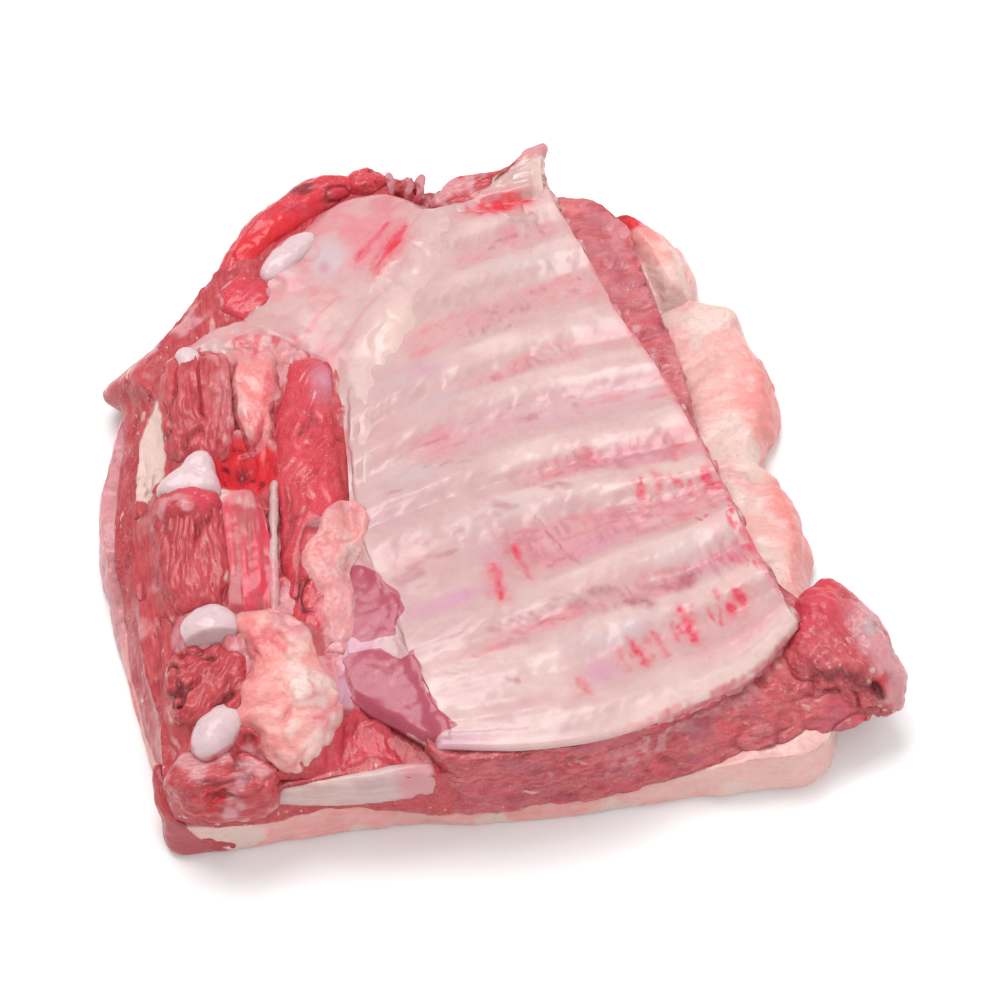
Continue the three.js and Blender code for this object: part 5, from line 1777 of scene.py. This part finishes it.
front_bone = bundle(
    [[-72, -142, 28], [-54, -140.5, 28.5], [-36, -138.5, 29], [-17, -136, 30]],
    10, 21, 0.02, 0.5, sides=130, fine=0.6,
)
saw_marks = 0.1 * noise(front_bone.grain, [9, 1, 1.2], 392)
front_bone.push(0.35 * rough(front_bone.points, [12, 6, 5], 391) + saw_marks)
x = front_bone.points[:, 0]
front_bone.mark(
    rose=0.7 * smooth(x + 3 * noise(front_bone.points, 5, 393), -36, -22),
    pearl=0.4 * hill(front_bone.points, [-36, -139], (14, 30)) + 0.3 * fall(x, -66, -58),
)
streaks = dapples(front_bone.grain, [18, 1.6, 1.8], 394, 0.1, 0.7)
# The streaks are brownish marks; the lowest few millimetres of the bone, where it meets the fat, get painted
# shade.
front_bone.mark(bruise=0.1 * streaks + 0.5 * fall(front_bone.points[:, 2], 19, 21.5))
piece("front_bone", front_bone, BONE)

# %% [markdown]
# ## Fat, loin and belly
# Three layers carry all the rest. The fat bulges in lobes along the belly side and has creases.

# %% The fat
fat = layer(
    FAT_OUTLINE, [-5, 0], lambda x, y: 3 + 7 * smooth(x, 60, 100) * smooth(y, -100, -40), fat_top,
    lambda x, y: 0 * x, 2, around=860, tops=34, walls=26,
)
bottom = smooth(fat.points[:, 2], 0.4, 3.0)
crease = creases(fat.points @ TWIST, [34, 22, 26], 41)
lobes = 0.9 * rough(fat.points, [17, 12, 10], 42) - 1.4 * crease + 0.12 * noise(fat.points, 1.4, 43)
fat.push(bottom * lobes)
warm = rough(fat.points, [24, 30, 14], 44)
fat.mark(
    cream=blotches(fat.points, 18, 45, -0.4, 0.6),
    salmon=np.maximum(0.6 * crease, 0.75 * smooth(warm, 0.35, 1.1)),
)
P = fat.points
x, y, z = P.T
calm = np.maximum(smooth(-y, 95, 110), fall(x - 0.3 * np.abs(y - 40), 88, 100)) * smooth(x, 40, 70)
fat.fade(1 - 0.6 * calm, "salmon")
fat.mark(cream=0.45 * calm)
rim_out = smooth(x - 0.12 * np.abs(y - 40) + 5 * noise(P, 12, 48), 90, 106) * smooth(y, -85, -70)
spots = [
    hill(P, [110, 56], (7, 9)), hill(P, [115, 38], (6, 13)), 0.8 * hill(P, [121, -26], (5, 14)),
    0.7 * hill(P, [106, 14], (5, 7)), 0.6 * hill(P, [121, -60], (5, 12)), 0.5 * hill(P, [96, 92], (7, 7)),
]
fat.mark(salmon=np.maximum(1.1 * np.max(spots, axis=0), 0.62 * rim_out))
front_right = smooth(x + 5 * noise(P, 9, 49), 30, 62) * smooth(-y, 88, 104) * smooth(z, 1.5, 5)
fat.fade(1 - 0.9 * front_right, "salmon")
fat.mark(cream=0.5 * front_right)
front_left = smooth(-y, 126, 136) * smooth(x + 4 * noise(P, 9, 50), -106, -92) * (1 - front_right)
fat.fade(1 - 0.7 * front_left, "salmon")
fat.mark(
    cream=0.32 * front_left * (0.9 + 0.5 * noise(P, 7, 51)),
    salmon=0.3 * smooth(x, 100, 114) * fall(y, -25, -5) * (1 - front_right),
    stain=0.55 * np.max(spots[:2], axis=0) * (0.9 + 0.4 * noise(P, 7, 46)),
)
fat.fade(1 - 0.8 * rim_out * (1 - front_right), "cream")
fat.mark(rose=0.9 * smooth(-x, 126, 134))
slope = z - 24 + 0.95 * (x + 110) + 1.2 * noise(P, 6, 47)
at_front = smooth(-y, 128, 138)
fat.mark(lean=at_front * fall(slope, -1.5, 1) * smooth(z, 0.2, 1.5))
fat.fade(smooth(slope, -1, 1), "cream")
piece("fat_cap", fat, FAT)

# %% [markdown]
# The loin's side is smooth, with fine fibres that run down it, and it sinks below the deep red hollow.

# %% The loin
loin = layer(
    LOIN_OUTLINE, [-70, -5], lambda x, y: 2 + 18 * smooth(-x, 45, 85) * smooth(y, -135, -95), loin_top,
    lambda x, y: fat_top(x, y) - 3, 1.35, around=760, tops=44, walls=44,
)
loin.turn_grain(75, -30)
fibres = 0.3 * noise(loin.grain, [20, 3, 4], 52) + 0.15 * noise(loin.grain, [12, 1.6, 2.5], 53)
loin.push(0.7 * rough(loin.points, [14, 14, 9], 51) + fibres)
# Thin crease lines along the grain get painted shade.
loin.mark(dark=0.35 * creases(loin.grain, [40, 7, 9], 52))
loin.points[:, 2] -= 7.5 * hill(loin.points, HOLE, (8, 10)) * smooth(loin.points[:, 2], 25, 36)
loin.mark(
    rose=0.4 * dapples(loin.grain, [30, 4, 6], 54, 0.4, 1.0) * smooth(loin.points[:, 1], -80, -20),
    cream=0.7 * dapples(loin.grain, [30, 0.9, 1.4], 55, 0.62, 0.8),
)
piece("loin_muscle", loin, LEAN)

# %% [markdown]
# The belly muscle rises to the edge of the membrane at the front, so that the front cut is one face of flesh.
# Its upper rim there is frayed and pale.

# %% The belly


def belly_rise(x, y):
    """The belly muscle's top, raised to the edge of the sheet in front of it and under its first part."""
    edge = between(43.6, 34.0, smooth(x, 0, 100)) - 2.0 * smooth(x, 20, 70)
    near = smooth(-y, 92, 112) * fall(x, 96, 112)
    return between(belly_top(x, y), edge, near)


belly = layer(
    BELLY_OUTLINE, [25, 20], lambda x, y: 3 + 15 * smooth(x, 25, 85) * fall(y, -110, -90), belly_rise,
    lambda x, y: fat_top(x, y) - 3, 1.35, around=860, tops=30, walls=58,
)
belly.turn_grain(8, 4)
# fleshy paints shade into the creases and a pale highlight on some raised strands.
fleshy(belly, [8, 6, 3.6], 1.2, 61, 0.35, 0.4)
P = belly.points
x, y, z = P.T
belly.push(0.25 * noise(P, 1.7, 66) + 0.3 * noise(P, 3.2, 67))
belly.mark(salmon=0.6 * smooth(rough(P, [16, 10, 4], 65, 4), 0.3, 1.2))
edge_gap = np.linalg.norm(P[:, None, :2] - FRONT(np.linspace(0.35, 1, 60))[:, :2], axis=-1).min(1)
frayed = fall(edge_gap + 2.0 * noise(P, 3, 68), 3, 8)
frayed = frayed * smooth(x, 25, 55) * smooth(z, 20, 27)
belly.mark(
    salmon=0.3 * frayed,
    rose=0.75 * frayed * blotches(P, 3.2, 79, -0.6, 0.5),
    cream=0.6 * frayed * blotches(P, 1.9, 69, -0.1, 1.0),
    stain=0.4 * frayed * smooth(-rough(P, 2.6, 80), 0, 0.8),
)
belly.push(0.4 * frayed * rough(P, 3.0, 78))
belly.mark(
    cream=0.55 * blotches(P, [7, 5, 3], 73, 0.45, 1.1),
    bruise=0.5 * blotches(P, [14, 10, 6], 74, 0.1, 0.9),
    dark=0.3 * blotches(P, [7, 5, 3], 76, 0.6, 1.2),
    stain=0.35 * blotches(P, [12, 9, 5], 75, 0.2, 0.9),
    salmon=0.25 * smooth(x, 20, 80) * (0.9 + 0.5 * noise(P, 6, 81)),
)
strip = smooth(y + 0.4 * x, -10, 20)
belly.mark(rose=0.42 * strip * (0.9 + 0.5 * noise(P, 5, 70)))
along_saw = sheet_plan(1.0, np.linspace(0.25, 0.95, 60))
gap = np.linalg.norm(P[:, None, :2] - along_saw, axis=-1).min(1)
threads = smooth(rough(P, [3, 3, 3], 71) - 0.12 * gap, -0.3, 0.5)
belly.mark(cream=0.55 * strip * threads * fall(gap, 4, 10))
piece("belly_muscle", belly, CUT)

# %% [markdown]
# The knob of fat at the back right is a thick skin over the fat and the belly muscle, with one red spot.

# %% The knob of fat
over = Ground(lambda x, y: 0 * x).lay(fat, belly, belly_form).blurred(3.0, 2)
belly_knob = skin(
    [[66, 84], [61, 97], [57, 107], [50, 119], [45, 129]],
    [[80, 86], [78, 100], [74, 112], [66, 123], [55, 130.5]], over, 0.4, 4, 15.0, 0.6,
)
fatty(belly_knob, 12, 0.7, 251, 0.1, 0.5)
P = belly_knob.points
P[:, 2] -= 6 * fall(belly_knob.known["margin"], 0, 7) * belly_knob.known["top"]
P[:, 2] = np.maximum(P[:, 2], 2.0)
SPOT = [[48, 126], [51, 130], [58, 126], [60, 119], [55, 116]]
spot = within(P + 1.5 * noise(P, 4, 254)[:, None], SPOT, 2)
belly_knob.mark(
    stain=spot,
    blood=spot * (0.7 + 0.5 * noise(P, 4, 255)),
    rose=0.6 * hill(P, [58, 122], (12, 8), -30),
    cream=0.6 * smooth(P[:, 0] - 0.5 * (P[:, 1] - 110), 58, 68),
    dark=0.5 * hill(P, [53, 124], (3, 2), -30),
)
piece("belly_knob", belly_knob, FAT)
print(len(made), "pieces")

# %% [markdown]
# ## Camera, light and floor
# The photo looks down at 53 degrees from the front, from a little over a metre away. Broad soft lights from
# above give the even light of the photo; the one behind gives the wet surface its small glints.

# %% Camera
TARGET = np.array([4.5, -14.5, 25]) * MM
DOWN = np.radians(53)
DISTANCE = 1.1  # metres
LENS = 108.9  # millimetres
AMBIENT = 0.72  # strength of the white light from all round
camera = bpy.data.objects.new("camera", bpy.data.cameras.new("camera"))
camera.data.lens = LENS
camera.location = TARGET + DISTANCE * np.array([0, -np.cos(DOWN), np.sin(DOWN)])
camera.rotation_euler = (np.radians(90) - DOWN, 0, 0)
bpy.context.scene.collection.objects.link(camera)
bpy.context.scene.camera = camera
print("camera at", np.round(camera.location, 3))

# %% [markdown]
# Each light is a square that faces the middle of the slab.

# %% Light and floor


def soft_light(name, at, size, power):
    """A square area light that faces the slab."""
    lamp = bpy.data.lights.new(name, "AREA")
    lamp.size, lamp.energy = size, power
    body = bpy.data.objects.new(name, lamp)
    body.location = at
    away = np.array(at) - TARGET
    body.rotation_euler = (np.arctan2(np.hypot(away[0], away[1]), away[2]), 0, np.arctan2(away[0], -away[1]))
    bpy.context.scene.collection.objects.link(body)


soft_light("overhead", (-0.35, 0.45, 1.5), 0.9, 17)
soft_light("fill", (0.6, -1.0, 1.0), 1.2, 6)
soft_light("glint", (0.12, 0.55, 1.15), 0.25, 2.5)
world = bpy.data.worlds.new("studio")
world.use_nodes = True
world.node_tree.nodes["Background"].inputs["Color"].default_value = (1, 1, 1, 1)
world.node_tree.nodes["Background"].inputs["Strength"].default_value = AMBIENT
bpy.context.scene.world = world
bpy.context.scene.view_settings.view_transform = "Standard"

floor_mesh = bpy.data.meshes.new("floor")
floor_mesh.from_pydata([(-3, -3, 0), (3, -3, 0), (3, 3, 0), (-3, 3, 0)], [], [(0, 1, 2, 3)])
floor = bpy.data.objects.new("floor", floor_mesh)
floor_finish = Finish("floor")
matt = {"Base Color": (0.9, 0.9, 0.9, 1), "Roughness": 0.8}
plain = floor_finish.node("ShaderNodeBsdfPrincipled", None, matt)
floor_mesh.materials.append(floor_finish.shown(plain))
bpy.context.scene.collection.objects.link(floor)
print("lights and floor ready")

# %% [markdown]
# ## Faces
# The faces of all pieces, counted together. The dressed slab has to stay in the box of
# the frame.

# %% Count the faces
print("faces in all:", sum(made.values()))
